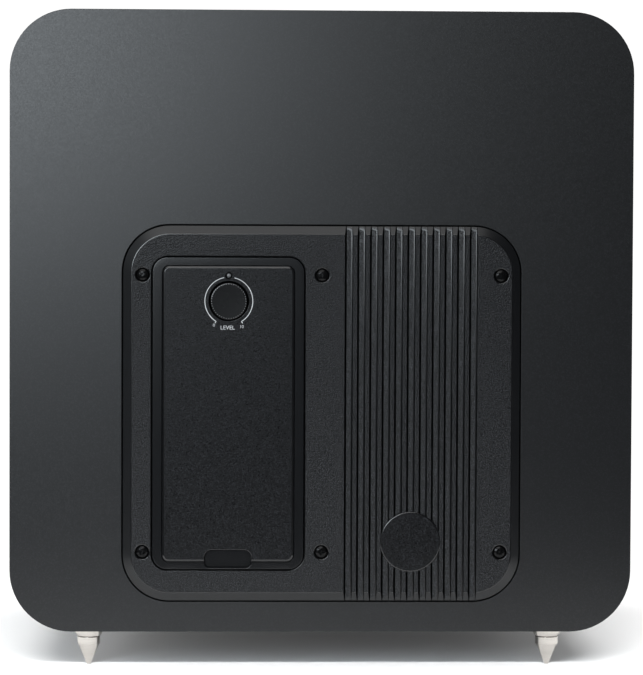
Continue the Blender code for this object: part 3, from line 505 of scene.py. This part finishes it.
def build_cabinet():
    """Seamless painted shell, bare board inside, recessed for the plate and rebated for the woofer."""
    paint, board, shaded = 0, 1, 2
    rear = CABINET_DEPTH
    plate_centre = (0.0, PLATE_Z - CENTRE_Z)
    cutout = rounded(*CUTOUT, plate_centre)
    recess = (PLATE_WIDTH + 2 * PLATE_GAP, PLATE_HEIGHT + 2 * PLATE_GAP, PLATE_RADIUS + PLATE_GAP)
    outer = (CABINET_WIDTH, CABINET_HEIGHT, CORNER_RADIUS)
    inner = rounded(CABINET_WIDTH - 2 * WALL, CABINET_HEIGHT - 2 * WALL, CORNER_RADIUS - WALL)
    loops = [(cutout, rear - PANEL_DEPTH), (cutout, rear - RECESS_DEPTH)]
    pocket = soften([(0.0, rear - RECESS_DEPTH), (0.0, rear), (-6.0, rear)], 0.35)
    loops += inset_loops(*recess, plate_centre, pocket[:-1])
    shell = soften([(6.0, rear), (0.0, rear, 0.45), (0.0, 0.0, 1.2), (6.0, 0.0)], 0.0)
    loops += inset_loops(*outer, (0.0, 0.0), shell[1:-1])
    loops += [(circle(REBATE_RADIUS + 0.4), 0.0), (circle(REBATE_RADIUS), 0.4),
              (circle(REBATE_RADIUS), REBATE_DEPTH), (circle(MOUTH_RADIUS), REBATE_DEPTH),
              (circle(MOUTH_RADIUS), BAFFLE_DEPTH), (inner, BAFFLE_DEPTH), (inner, rear - PANEL_DEPTH)]
    materials = [board] + [paint] * (len(loops) - 5) + [board] * 4
    # The recess's floor and wall, seen only through the gap round the plate, take the painted-shade material.
    materials[1:3] = [shaded, shaded]
    bm = bmesh.new()
    loft(bm, loops, closed=True, materials=materials)
    cabinet = draft("cabinet_shell", bm, [SURFACES["satin_black_paint"], SURFACES["raw_mdf"], PAINTED_SHADE])
    bm = bmesh.new()
    floor = -CABINET_HEIGHT / 2
    hole = rod(INSERT_HOLE, floor - 5.0, floor + WALL + 5.0)
    for number in range(1, 5):
        x, y = middle(f"threaded_insert_{number}", 0), middle(f"threaded_insert_{number}", 1)
        turn(bm, hole, 32, (x, y - FRONT_Y), upright=True, material=board)
    carve(cabinet, bm)
    settle(cabinet, FRONT, "cabinet", "satin_black_paint", "cabinet_wrap", "front_baffle", "rear_panel",
           sharp=26.0)


def build_feet():
    """Turned spikes with soft edges, each locked by a flanged nut."""
    spike = [(0.0, 0.0), (1.25, 0.0, 0.25), (6.95, 13.3, 0.1), (7.5, 13.6, 0.15), (7.5, 18.5, 0.35),
             (3.9, 18.5, 0.0), (3.9, 48.0, 0.4), (0.0, 48.0)]
    nut = [(4.3, 19.0), (7.9, 19.0, 0.3), (9.15, 21.2, 0.6), (9.15, 27.7, 0.5), (4.3, 27.7)]
    for number in range(1, 5):
        place = (middle(f"spike_{number}", 0), middle(f"spike_{number}", 1))
        for name, profile, body in ((f"spike_{number}", spike, f"spike_foot_{number}"),
                                    (f"spike_lock_nut_{number}", nut, "cabinet")):
            bm = bmesh.new()
            turn(bm, soften(profile, 0.3), 72, place, upright=True, closed=True)
            foot = draft(f"turned_{name}", bm, [SURFACES["nickel_steel"]])
            settle(foot, UPRIGHT, body, "nickel_steel", name)


# ---------------------------------------------------------------- amplifier plate

FLUTES = 11
FLUTE_FIRST_X = 17.2
FLUTE_PITCH = 8.01
FLUTE_PROFILE = [(-2.75, -4.0), (2.6, -4.0), (2.6, -1.8), (2.3, 1.0), (1.98, -1.05), (1.35, -0.92),
                 (-1.4, -0.5), (-1.75, 1.0), (-2.75, -1.8)]
# Sides of the flute profile whose faces take painted shade: the walls of each flute's two slots.
FLUTE_SHADED_SIDES = (2, 3, 6, 7)
FLUTE_BRIGHT_SIDE = 4
BOSS_AT = (57.3, -82.3)
BOSS_RADIUS = 19.4


def screw_places():
    return [seen_from_behind(f"amp_screw_{n}") for n in range(1, 7)]


def build_amp_plate():
    """Bevelled plate with sloping flutes, a pocket for the control bay and six counterbores."""
    # Index 2 is painted shade, laid on the plate's outer wall, the flutes' slots, the pocket and tub walls
    # and the counterbores' walls and floors.
    smooth, grained, shaded, bright = 0, 1, 2, 3
    bm = bmesh.new()
    profile = soften([(0.0, PLATE_BACK), (0.0, 0.3, 0.3), (BEVEL, PLATE_FACE, 1.6),
                      (BEVEL + 4.0, PLATE_FACE)], 0.0, steps=4)
    loops = inset_loops(PLATE_WIDTH, PLATE_HEIGHT, PLATE_RADIUS, (0.0, 0.0), profile)
    materials = [smooth] * (len(loops) - 1)
    materials[0] = shaded
    materials[-5:-1] = [bright] * 4
    materials[-1] = grained
    loft(bm, loops, materials=materials)
    plate = draft("fluted_amp_plate", bm, [EDGE, SURFACES["textured_black"], PAINTED_SHADE, SHINE])

    bm = bmesh.new()
    half = PLATE_HEIGHT / 2 + 5.0
    for flute in range(FLUTES):
        x = FLUTE_FIRST_X + flute * FLUTE_PITCH
        ends = [[bm.verts.new((x + dx, y, z)) for dx, y in FLUTE_PROFILE] for z in (-half, half)]
        for end in ends:
            bm.faces.new(end).material_index = grained
        count = len(FLUTE_PROFILE)
        for i in range(count):
            j = (i + 1) % count
            face = bm.faces.new((ends[0][i], ends[0][j], ends[1][j], ends[1][i]))
            if i in FLUTE_SHADED_SIDES:
                face.material_index = shaded
            else:
                face.material_index = bright if i == FLUTE_BRIGHT_SIDE else grained
    carve(plate, bm)

    bm = bmesh.new()
    edge = [(0.5, OUTSIDE), (0.5, PLATE_FACE - 0.03), (0.15, PLATE_FACE + 0.09),
            (0.0, PLATE_FACE + 0.3), (0.0, 2.4)]
    pocket = [(-BEZEL_GAP - inset, depth) for inset, depth in edge]
    sides = [bright, bright, smooth, shaded]
    loft(bm, inset_loops(BEZEL_WIDTH, BEZEL_HEIGHT, BAY_RADIUS, (BAY_X, 0.0), pocket), materials=sides)
    carve(plate, bm)
    bm = bmesh.new()
    tub = rounded(COVER_WIDTH + 5.2, COVER_HEIGHT + 5.2, 7.1, (BAY_X, COVER_Z))
    prism(bm, tub, 0.9, 8.0, shaded)
    carve(plate, bm)

    bm = bmesh.new()
    bore = [(0.0, OUTSIDE), (5.25, OUTSIDE), (5.25, PLATE_FACE - 0.03), (4.9, PLATE_FACE + 0.07),
            (4.65, PLATE_FACE + 0.25), (4.6, 0.8), (0.0, 0.8)]
    for place in screw_places():
        turn(bm, bore, 48, place, material=[bright, bright, bright, bright, shaded, shaded])
    carve(plate, bm)
    settle(plate, REAR, "cabinet", "textured_black", "amp_plate", sharp=28.0)

    bm = bmesh.new()
    crown = PLATE_FACE - 0.5
    boss = [(0.0, crown), (BOSS_RADIUS - 0.9, crown), (BOSS_RADIUS - 0.45, crown + 0.09),
            (BOSS_RADIUS - 0.15, crown + 0.25), (BOSS_RADIUS, crown + 0.6), (BOSS_RADIUS, 0.4), (0.0, 0.4)]
    # The boss's sides below its rim take painted shade.
    face, rim, shaded_side = 0, 1, 2
    turn(bm, boss, 96, BOSS_AT, material=[face, rim, rim, rim, shaded_side, shaded_side])
    boss = draft("plate_boss", bm, [SURFACES["cover_plastic"], SHINE, PAINTED_SHADE])
    settle(boss, REAR, "cabinet", "textured_black")


def build_amp_screws():
    """Pan heads with a cross recess."""
    head = [(0.0, -1.4), (2.2, -1.32, 1.0), (3.7, -0.75, 0.8), (4.1, 0.1, 0.3), (4.1, 0.5, 0.0),
            (1.75, 0.5, 0.0), (1.75, 13.5, 0.3), (0.0, 15.0)]
    for number, place in enumerate(screw_places(), start=1):
        bm = bmesh.new()
        turn(bm, soften(head, 0.5), 48, place)
        screw = draft(f"pan_head_screw_{number}", bm, [SURFACES["black_oxide"], SHINE])
        turn_by = math.radians(17.0 + 31.0 * number)
        for quarter in (0.0, math.pi / 2):
            loops = []
            for width, reach, depth in ((1.15, 5.0, -2.0), (0.85, 4.2, -1.1), (0.5, 2.2, 0.1)):
                spin = Matrix.Rotation(turn_by + quarter, 2)
                corners = [spin @ Vector(point) for point in rectangle(reach, width)]
                loops.append(([(place[0] + c.x, place[1] + c.y) for c in corners], depth))
            cross = bmesh.new()
            loft(cross, loops, materials=1)
            carve(screw, cross)
        settle(screw, REAR, "cabinet", "black_oxide", f"amp_screw_{number}")


# ---------------------------------------------------------------- control bay and cover

def build_control_bay():
    """Smooth bezel, stepped tub, finger well and holes for the controls, in one moulding."""
    # Index 1 is painted shade, laid on the tub, the openings and the walls of the mouth and the scoop.
    smooth, shaded, bright = 0, 1, 2
    bm = bmesh.new()
    tub_inset = (BAY_WIDTH - COVER_WIDTH) / 2 - 2.3
    ring = soften([(tub_inset, TUB_STEP), (0.0, TUB_STEP, 0.0), (0.0, PLATE_FACE, 0.5),
                   (4.0, PLATE_FACE)], 0.3)
    loops = inset_loops(BEZEL_WIDTH, BEZEL_HEIGHT, BAY_RADIUS - 0.5, (BAY_X, 0.0), ring)
    tub = rounded(COVER_WIDTH + 4.6, COVER_HEIGHT + 4.6, 6.8, (BAY_X, COVER_Z))
    loops = [(tub, BAY_FLOOR + 2.0), (tub, TUB_STEP)] + loops[1:]
    sides = by_depth(loops, PLATE_FACE + 0.6, smooth, shaded)
    loft(bm, loops, materials=sides[:-1])
    bay = draft("control_bay_moulding", bm, [SURFACES["smooth_black_plastic"], PAINTED_SHADE, SHINE])

    bm = bmesh.new()
    prism(bm, rectangle(120.0, 60.0, (BAY_X, SHELF_Z + 32.0)), SHELF_FLOOR + 2.0, 80.0)
    carve(bay, bm)

    width, height = COVER_WIDTH + 2 * GAP, COVER_HEIGHT + 2 * GAP
    mouth = [(-0.3, OUTSIDE), (-0.3, PLATE_FACE - 0.1), (0.0, PLATE_FACE + 0.35), (0.0, 4.4)]
    bm = bmesh.new()
    loft(bm, inset_loops(width, height, 4.8, (BAY_X, COVER_Z), mouth), materials=[bright, bright, shaded])
    carve(bay, bm)

    ledge = 1.2
    low = COVER_Z - height / 2 + ledge
    high = COVER_Z + height / 2 - ledge
    for bottom, top, start, end in ((low, SHELF_Z, 0.0, BAY_FLOOR), (SHELF_Z - 5.0, high, 1.0, SHELF_FLOOR)):
        bm = bmesh.new()
        opening = rounded(width - 2 * ledge, top - bottom, 3.6, (BAY_X, (bottom + top) / 2))
        prism(bm, opening, start, end, shaded)
        carve(bay, bm)

    well_low, well_high = low - ledge - 1.0, low - ledge + NOTCH_HEIGHT + 4.0
    bm = bmesh.new()
    well_centre = (BAY_X, (well_low + well_high) / 2)
    well = rounded(NOTCH_WIDTH - 2 * GAP, well_high - well_low, 1.0, well_centre)
    prism(bm, well, WELL_FLOOR, 7.0)
    carve(bay, bm, "UNION")

    scoop_top, scoop_low = 4.0, low - ledge - SCOOP_HEIGHT
    scoop_height = SCOOP_HEIGHT + ledge + scoop_top
    bm = bmesh.new()
    scoop = [(-0.5, OUTSIDE), (-0.5, PLATE_FACE - 0.03), (-0.2, PLATE_FACE + 0.07),
             (0.0, PLATE_FACE + 0.3), (0.0, SCOOP_FLOOR)]
    loft(bm, inset_loops(NOTCH_WIDTH, scoop_height, 4.0, (BAY_X, scoop_low + scoop_height / 2), scoop),
         materials=[bright, bright, bright, shaded, smooth])
    carve(bay, bm)

    bm = bmesh.new()
    turn(bm, rod(SHAFT_HOLE, 10.0, 20.0), 32, KNOB_AT)
    turn(bm, rod(LIGHT_HOLE, 10.0, 20.0), 24, LIGHT_AT)
    below, beyond = BAY_FLOOR - 3.0, BAY_FLOOR + 5.0
    turn(bm, rod(SHAFT_HOLE, below, beyond), 32, seen_from_behind("crossover_potentiometer"))
    sockets = middle("input_socket_block", 2) - PLATE_Z
    for side in (-1, 0, 1):
        turn(bm, rod(SOCKET_HOLE, below, beyond), 32, (BAY_X + side * 24.0, sockets))
    for node, width, height in (("phase_switch_body", 9.4, 4.0), ("power_mode_switch_body", 12.4, 4.0),
                                ("mains_inlet", 28.0, 20.4), ("mains_rocker_frame", 19.6, 26.6)):
        prism(bm, rectangle(width, height, seen_from_behind(node)), below, beyond)
    carve(bay, bm)

    bm = bmesh.new()
    for x in (-38.0, 38.0):
        for z in (-88.0, 38.0):
            turn(bm, rod(3.0, BAY_FLOOR + 1.0, POST_END), 24, (BAY_X + x, z))
    carve(bay, bm, "UNION")
    settle(bay, REAR, "cabinet", "smooth_black_plastic", "control_bay")


def build_cover():
    """Fine-textured lid with soft edges, a finger notch, and holes for the knob and the light."""
    # Index 1 is painted shade, laid on the skirt and on the walls of the notch and the holes.
    face, shaded, bright = 0, 1, 2
    skirt = 1.6
    back = COVER_FACE + 2.5
    profile = soften([(skirt, back), (skirt, 4.0, 0.0), (0.0, 4.0, 0.0), (0.0, COVER_FACE + 0.45, 0.4),
                      (1.3, COVER_FACE, 0.9), (5.0, COVER_FACE)], 0.0, steps=5)
    bm = bmesh.new()
    loops = inset_loops(COVER_WIDTH, COVER_HEIGHT, COVER_RADIUS, (BAY_X, COVER_Z), profile)
    sides = by_depth(loops, COVER_FACE + 0.5, bright, shaded)
    sides[-2] = face
    loft(bm, loops, materials=sides[:-1])
    cover = draft("connector_cover", bm, [SURFACES["cover_plastic"], PAINTED_SHADE, SHINE])
    bm = bmesh.new()
    notch_height = NOTCH_HEIGHT + 8.0
    notch_low = COVER_Z - COVER_HEIGHT / 2 - 8.0
    notch = [(-0.5, OUTSIDE), (-0.5, COVER_FACE - 0.03), (-0.2, COVER_FACE + 0.07),
             (0.0, COVER_FACE + 0.3), (0.0, 8.0)]
    loft(bm, inset_loops(NOTCH_WIDTH, notch_height, 5.0, (BAY_X, notch_low + notch_height / 2), notch),
         materials=[bright, bright, bright, shaded])
    carve(cover, bm)
    bm = bmesh.new()
    for place, radius, soft, segments in ((KNOB_AT, KNOB_HOLE, 0.45, 96), (LIGHT_AT, 2.2, 0.25, 32)):
        hole = [(0.0, OUTSIDE), (radius + soft, OUTSIDE), (radius + soft, COVER_FACE - 0.03),
                (radius + 0.4 * soft, COVER_FACE + 0.2 * soft), (radius, COVER_FACE + 0.8 * soft),
                (radius, 8.0), (0.0, 8.0)]
        turn(bm, hole, segments, place, material=[bright] * 4 + [shaded] * 2)
    carve(cover, bm)
    settle(cover, REAR, "cover", "cover_plastic", "access_cover")


def build_dial():
    """Printed scale round the level knob: an arc open at the light and below, end ticks and labels."""
    face, ink = COVER_FACE, 0.04
    bm = bmesh.new()
    half, steps = 0.24, 48
    for start, end in ((13.5, DIAL_SWEEP), (-DIAL_SWEEP, -11.5)):
        rings = []
        for depth in (face, face - ink):
            for radius in (DIAL_RADIUS - half, DIAL_RADIUS + half):
                ring = []
                for step in range(steps + 1):
                    angle = math.radians(90.0 - start - (end - start) * step / steps)
                    ring.append(bm.verts.new((KNOB_AT[0] + radius * math.cos(angle), depth,
                                              KNOB_AT[1] + radius * math.sin(angle))))
                rings.append(ring)
        inner_low, outer_low, inner_high, outer_high = rings
        around = (inner_low, inner_high, outer_high, outer_low)
        for first, second in zip(around, around[1:] + around[:1]):
            for i in range(steps):
                bm.faces.new((first[i], first[i + 1], second[i + 1], second[i]))
        for i in (0, steps):
            bm.faces.new([ring[i] for ring in around])
    for side in (-1, 1):
        angle = math.radians(90.0 - side * DIAL_SWEEP)
        along = Vector((math.cos(angle), math.sin(angle)))
        across = Vector((-along.y, along.x)) * half
        corners = []
        tick_end = DIAL_RADIUS + 1.3
        for reach, turned in ((DIAL_RADIUS, 1), (DIAL_RADIUS, -1), (tick_end, -1), (tick_end, 1)):
            point = along * reach + across * turned
            corners.append((KNOB_AT[0] + point.x, KNOB_AT[1] + point.y))
        prism(bm, corners, face, face - ink)
    settle(draft("dial_scale", bm, [PRINT]), REAR, "cover", "cover_plastic", weighted=False)

    labels = (("dial_low", "0", (-9.5, -15.5), 2.7), ("dial_high", "10", (8.3, -16.4), 2.7),
              ("dial_caption", "LEVEL", (-0.8, -17.1), 3.6))
    for name, text, (x, z), size in labels:
        curve = bpy.data.curves.new(name, "FONT")
        curve.body = text
        curve.size = size
        curve.align_x = "CENTER"
        curve.align_y = "CENTER"
        curve.extrude = ink / 2
        curve.offset = -0.01
        letters = bpy.data.objects.new(name, curve)
        bpy.context.scene.collection.objects.link(letters)
        bpy.context.view_layer.update()
        evaluated = letters.evaluated_get(bpy.context.evaluated_depsgraph_get())
        mesh = bpy.data.meshes.new_from_object(evaluated)
        bpy.data.objects.remove(letters)
        upright = Matrix.Rotation(math.pi / 2, 4, "X")
        mesh.transform(Matrix.Translation((KNOB_AT[0] + x, face, KNOB_AT[1] + z)) @ upright)
        mesh.materials.clear()
        mesh.materials.append(PRINT)
        label = bpy.data.objects.new(name, mesh)
        bpy.context.scene.collection.objects.link(label)
        settle(label, REAR, "cover", "cover_plastic", weighted=False)


def build_level_knob():
    """Smooth rim with a painted highlight dot on every tooth, in front of a finely knurled skirt."""
    plain, bright, shaded, painted_glint = 0, 1, 2, 3
    teeth, dot_radius = 44, 11.0

    def knurl(angle):
        return 0.34 * abs(math.cos(teeth * angle / 2)) - 0.34

    rim = [(10.7, KNOB_FRONT + 0.02), (11.15, KNOB_FRONT), (11.5, KNOB_FRONT + 0.065, 0.1),
           (11.63, KNOB_FRONT + 0.14, 0.4), (11.69, KNOB_FRONT + 0.28, 0.8)]
    skirt = [(KNOB_RADIUS, KNOB_FRONT + 0.7, 1.0), (KNOB_RADIUS, -2.4, 1.0), (KNOB_RADIUS, KNOB_BACK, 1.0),
             (3.4, KNOB_BACK), (3.4, -2.0), (0.0, -2.0)]
    profile = [(0.0, KNOB_FRONT + 0.15)] + rim + skirt
    bm = bmesh.new()
    # The skirt's sides and back take painted shade, so the gap round the knob reads black.
    turn(bm, profile, teeth * 8, KNOB_AT, wave=knurl,
         material=[plain] * 2 + [bright] * 4 + [plain] + [shaded] * 4)
    # A light grey dot on each tooth tip: a painted glint.
    for tooth in range(teeth):
        angle = FULL_TURN * tooth / teeth
        at = (KNOB_AT[0] + dot_radius * math.cos(angle), KNOB_AT[1] + dot_radius * math.sin(angle))
        tip = [(0.0, KNOB_FRONT - 0.06), (0.22, KNOB_FRONT - 0.03), (0.33, KNOB_FRONT + 0.15),
               (0.0, KNOB_FRONT + 0.2)]
        turn(bm, tip, 10, at, material=painted_glint)
    knob = draft("knurled_level_knob", bm, [SURFACES["knob_plastic"], SHINE, PAINTED_SHADE, TOOTH_GLINT])
    settle(knob, REAR, "level_control", "knob_plastic", "level_knob", sharp=40.0)


def build_status_light():
    """Frosted light pipe with a shoulder behind the cover."""
    bm = bmesh.new()
    front = COVER_FACE + 0.15
    back = REAR_Y - span("status_light_pipe", 1)[0]
    pipe = [(0.0, front - 0.12), (1.3, front, 0.3), (1.3, back - 3.5, 0.0), (2.4, back - 3.5, 0.0),
            (2.4, back, 0.0), (0.0, back)]
    turn(bm, soften(pipe, 0.3), 32, LIGHT_AT)
    pipe = draft("frosted_light_pipe", bm, [SURFACES["light_pipe"]])
    settle(pipe, REAR, "cabinet", "light_pipe", "status_light_pipe")


# ---------------------------------------------------------------- woofer

def build_woofer():
    """Trim ring, half-roll surround, ribbed paper cone and dust cap, all turned."""
    def part(name, profile, slot, body, *replaced, closed=True):
        bm = bmesh.new()
        turn(bm, profile, ROUND_SEGMENTS, closed=closed)
        piece = draft(name, bm, [SURFACES[slot]])
        return settle(piece, FRONT, body, slot, *replaced, weighted=False)

    outer = 156.5
    trim = [(139.5, -1.0, 0.6), (141.0, -2.0, 1.0), (outer, -2.0, 1.6), (outer, 7.3, 0.3),
            (outer - 1.9, 7.3, 0.2), (outer - 1.9, -0.8, 0.0), (142.0, -0.8, 0.0), (142.0, 2.3, 0.2),
            (139.5, 2.3, 0.2)]
    part("soft_edged_trim_ring", soften(trim, 0.3, 4, closed=True), "trim_plastic", "cabinet",
         "woofer_trim_ring")

    front, back, rubber = 6.9, 7.7, 0.8
    centre, half, height = 128.0, 8.0, 10.6
    steps = 24
    arcs = []
    for thin in (0.0, rubber):
        arcs.append([(centre - (half - thin) * math.cos(math.pi * i / steps),
                      front + thin - height * math.sin(math.pi * i / steps)) for i in range(steps + 1)])
    profile = [(113.0, front)] + arcs[0] + [(141.2, front), (141.2, back)] + arcs[1][::-1] + [(113.0, back)]
    bm = bmesh.new()
    turn(bm, profile, ROUND_SEGMENTS, closed=True)
    surround = draft("half_roll_surround", bm, [SURFACES["black_rubber"]])
    bend(surround, "woofer_surround")

    cone = [(119.6, 8.0), (119.6, 9.2), (112.6, 9.4)]
    neck, neck_depth, rim, rim_depth = 26.9, 49.2, 112.9, 8.0
    ripples = 9
    face = []
    for i in range(ripples * 6 + 1):
        t = i / (ripples * 6)
        radius = neck + (rim - neck) * t
        bow = 2.2 * math.sin(math.pi * t)
        ripple = 0.32 * math.cos(FULL_TURN * ripples * t) if 0.12 < t < 0.94 else 0.32
        face.append((radius, neck_depth + (rim_depth - neck_depth) * t - bow + ripple - 0.32))
    back_face = [(28.2, 50.0), (28.2, 54.0), (neck, 54.0)]
    part("ribbed_cone", cone + back_face + face, "cone_paper", "cone_assembly", "woofer_cone")

    cap_radius, cap_depth, crown, skin = 44.0, 39.4, 15.0, 1.0
    sphere = (cap_radius ** 2 + crown ** 2) / (2 * crown)
    hub = cap_depth - crown + sphere
    reach = math.asin(cap_radius / sphere)
    shells = []
    for size in (sphere, sphere - skin):
        shells.append([(size * math.sin(reach * i / 20), hub - size * math.cos(reach * i / 20))
                       for i in range(21)])
    lip = [(cap_radius + 1.2, cap_depth + 0.2), (cap_radius + 0.6, cap_depth + 1.0)]
    dome = shells[0] + lip + shells[1][::-1]
    part("domed_dust_cap", dome, "cone_paper", "cone_assembly", "woofer_dust_cap", closed=False)

    cloth, wave, rolls = 0.7, 2.2, 5
    low = 73.4
    waves = []
    for i in range(rolls * 12 + 1):
        t = i / (rolls * 12)
        waves.append((31.0 + 35.0 * t, low - wave / 2 * (1 - math.cos(FULL_TURN * rolls * t))))
    top = [(27.2, low)] + waves + [(75.5, low)]
    profile = top + [(radius, depth + cloth) for radius, depth in reversed(top)]
    bm = bmesh.new()
    turn(bm, profile, 96, closed=True)
    spider = draft("corrugated_spider", bm, [SURFACES["spider_cloth"]])
    bend(spider, "woofer_spider")


def bend(piece, node):
    """Put a ring in the frame, smooth it, bake its placing and hide the CAD node it stands for."""
    piece.data.transform(FRONT)
    piece.data.shade_smooth()
    piece.data.set_sharp_from_angle(angle=math.radians(50.0))
    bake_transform(piece)
    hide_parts(node)


# ---------------------------------------------------------------- stage

def area_light(name, place, target, size, power, colour=(1.0, 1.0, 1.0)):
    light = bpy.data.lights.new(name, "AREA")
    light.shape = "RECTANGLE"
    light.size, light.size_y = size
    light.energy = power
    light.color = colour
    obj = bpy.data.objects.new(name, light)
    obj.location = place
    obj.rotation_mode = "QUATERNION"
    obj.rotation_quaternion = (Vector(target) - Vector(place)).to_track_quat("-Z", "Y")
    obj.visible_camera = False
    bpy.context.scene.collection.objects.link(obj)
    return obj


def build_stage():
    """White table and background, a key light, softboxes, and a strip that lights only the table."""
    bm = bmesh.new()
    bmesh.ops.create_circle(bm, cap_ends=True, radius=0.55, segments=128)
    material, nodes, _ = new_material("white_floor")
    shader = nodes["Principled BSDF"]
    shader.inputs["Base Color"].default_value = (0.80, 0.80, 0.80, 1.0)
    shader.inputs["Roughness"].default_value = 0.9
    shader.inputs["Specular IOR Level"].default_value = 0.0
    shader.inputs["Emission Color"].default_value = (1.0, 1.0, 1.0, 1.0)
    shader.inputs["Emission Strength"].default_value = 0.04
    floor = draft("floor", bm, [material])

    world = bpy.data.worlds.new("studio")
    world.use_nodes = True
    bpy.context.scene.world = world
    nodes, links = world.node_tree.nodes, world.node_tree.links
    soft = nodes["Background"]
    soft.inputs["Color"].default_value = (0.95, 0.97, 1.0, 1.0)
    soft.inputs["Strength"].default_value = 0.035
    seen = nodes.new("ShaderNodeBackground")
    seen.inputs["Color"].default_value = (1.0, 1.0, 1.0, 1.0)
    seen.inputs["Strength"].default_value = 1.05
    mix = nodes.new("ShaderNodeMixShader")
    rays = nodes.new("ShaderNodeLightPath")
    links.new(rays.outputs["Is Camera Ray"], mix.inputs["Fac"])
    links.new(soft.outputs["Background"], mix.inputs[1])
    links.new(seen.outputs["Background"], mix.inputs[2])
    links.new(mix.outputs["Shader"], nodes["World Output"].inputs["Surface"])

    middle_of_rear = (0.0, REAR_Y * MM, CENTRE_Z * MM)
    area_light("key", (0.61, 2.07, 0.61), middle_of_rear, (1.0, 0.54), 20.5, (0.87, 0.945, 1.0))
    area_light("rear_softbox", (0.15, 1.25, 1.3), (0.0, REAR_Y * MM, PLATE_Z * MM), (1.2, 0.7), 5.0)
    area_light("edge_light", (0.12, 1.63, 1.10), (0.0, REAR_Y * MM, PLATE_Z * MM), (1.0, 0.16), 2.6)
    area_light("top_softbox", (0.0, -0.95, 2.2), (0.0, -0.2, 0.3), (2.2, 1.6), 13.0)
    area_light("left_softbox", (1.9, -0.75, 0.75), (0.2, 0.0, 0.1), (1.3, 1.2), 20.0)
    area_light("right_softbox", (-1.9, -0.75, 0.75), (-0.2, 0.0, 0.1), (1.3, 1.2), 9.0)
    area_light("front_softbox", (-1.0, -2.3, 1.3), (0.0, FRONT_Y * MM, CENTRE_Z * MM), (1.4, 1.4), 32.0)

    distance, elevation = 4.5, math.radians(26.4)
    place = (0.0, REAR_Y * MM + distance * math.cos(elevation), distance * math.sin(elevation))
    strip = area_light("floor_light", place, (0.0, REAR_Y * MM, 0.0), (2.2, 0.03), 415.0)
    receivers = bpy.data.collections.new("floor_only")
    receivers.objects.link(floor)
    strip.light_linking.receiver_collection = receivers


def build_camera():
    """Long lens behind the cabinet, a little above its middle and to the left."""
    camera = bpy.data.cameras.new("camera")
    camera.sensor_width = 36.0
    camera.lens = 157.0
    camera.clip_end = 100.0
    obj = bpy.data.objects.new("camera", camera)
    yaw, pitch, roll = (math.radians(a) for a in (1.864, 2.031, 0.248))
    aim = (Matrix.Rotation(math.pi - yaw, 4, "Z") @ Matrix.Rotation(math.pi / 2 - pitch, 4, "X")
           @ Matrix.Rotation(roll, 4, "Z"))
    place = (0.0617, 2.0743, 0.2846)
    obj.matrix_world = Matrix.Translation(place) @ aim
    bpy.context.scene.collection.objects.link(obj)
    bpy.context.scene.camera = obj
    bpy.context.scene.view_settings.view_transform = "Standard"


build_camera()
dress_cad_nodes()
build_cabinet()
build_feet()
build_amp_plate()
build_amp_screws()
build_control_bay()
build_cover()
build_dial()
build_level_knob()
build_status_light()
build_woofer()
build_stage()
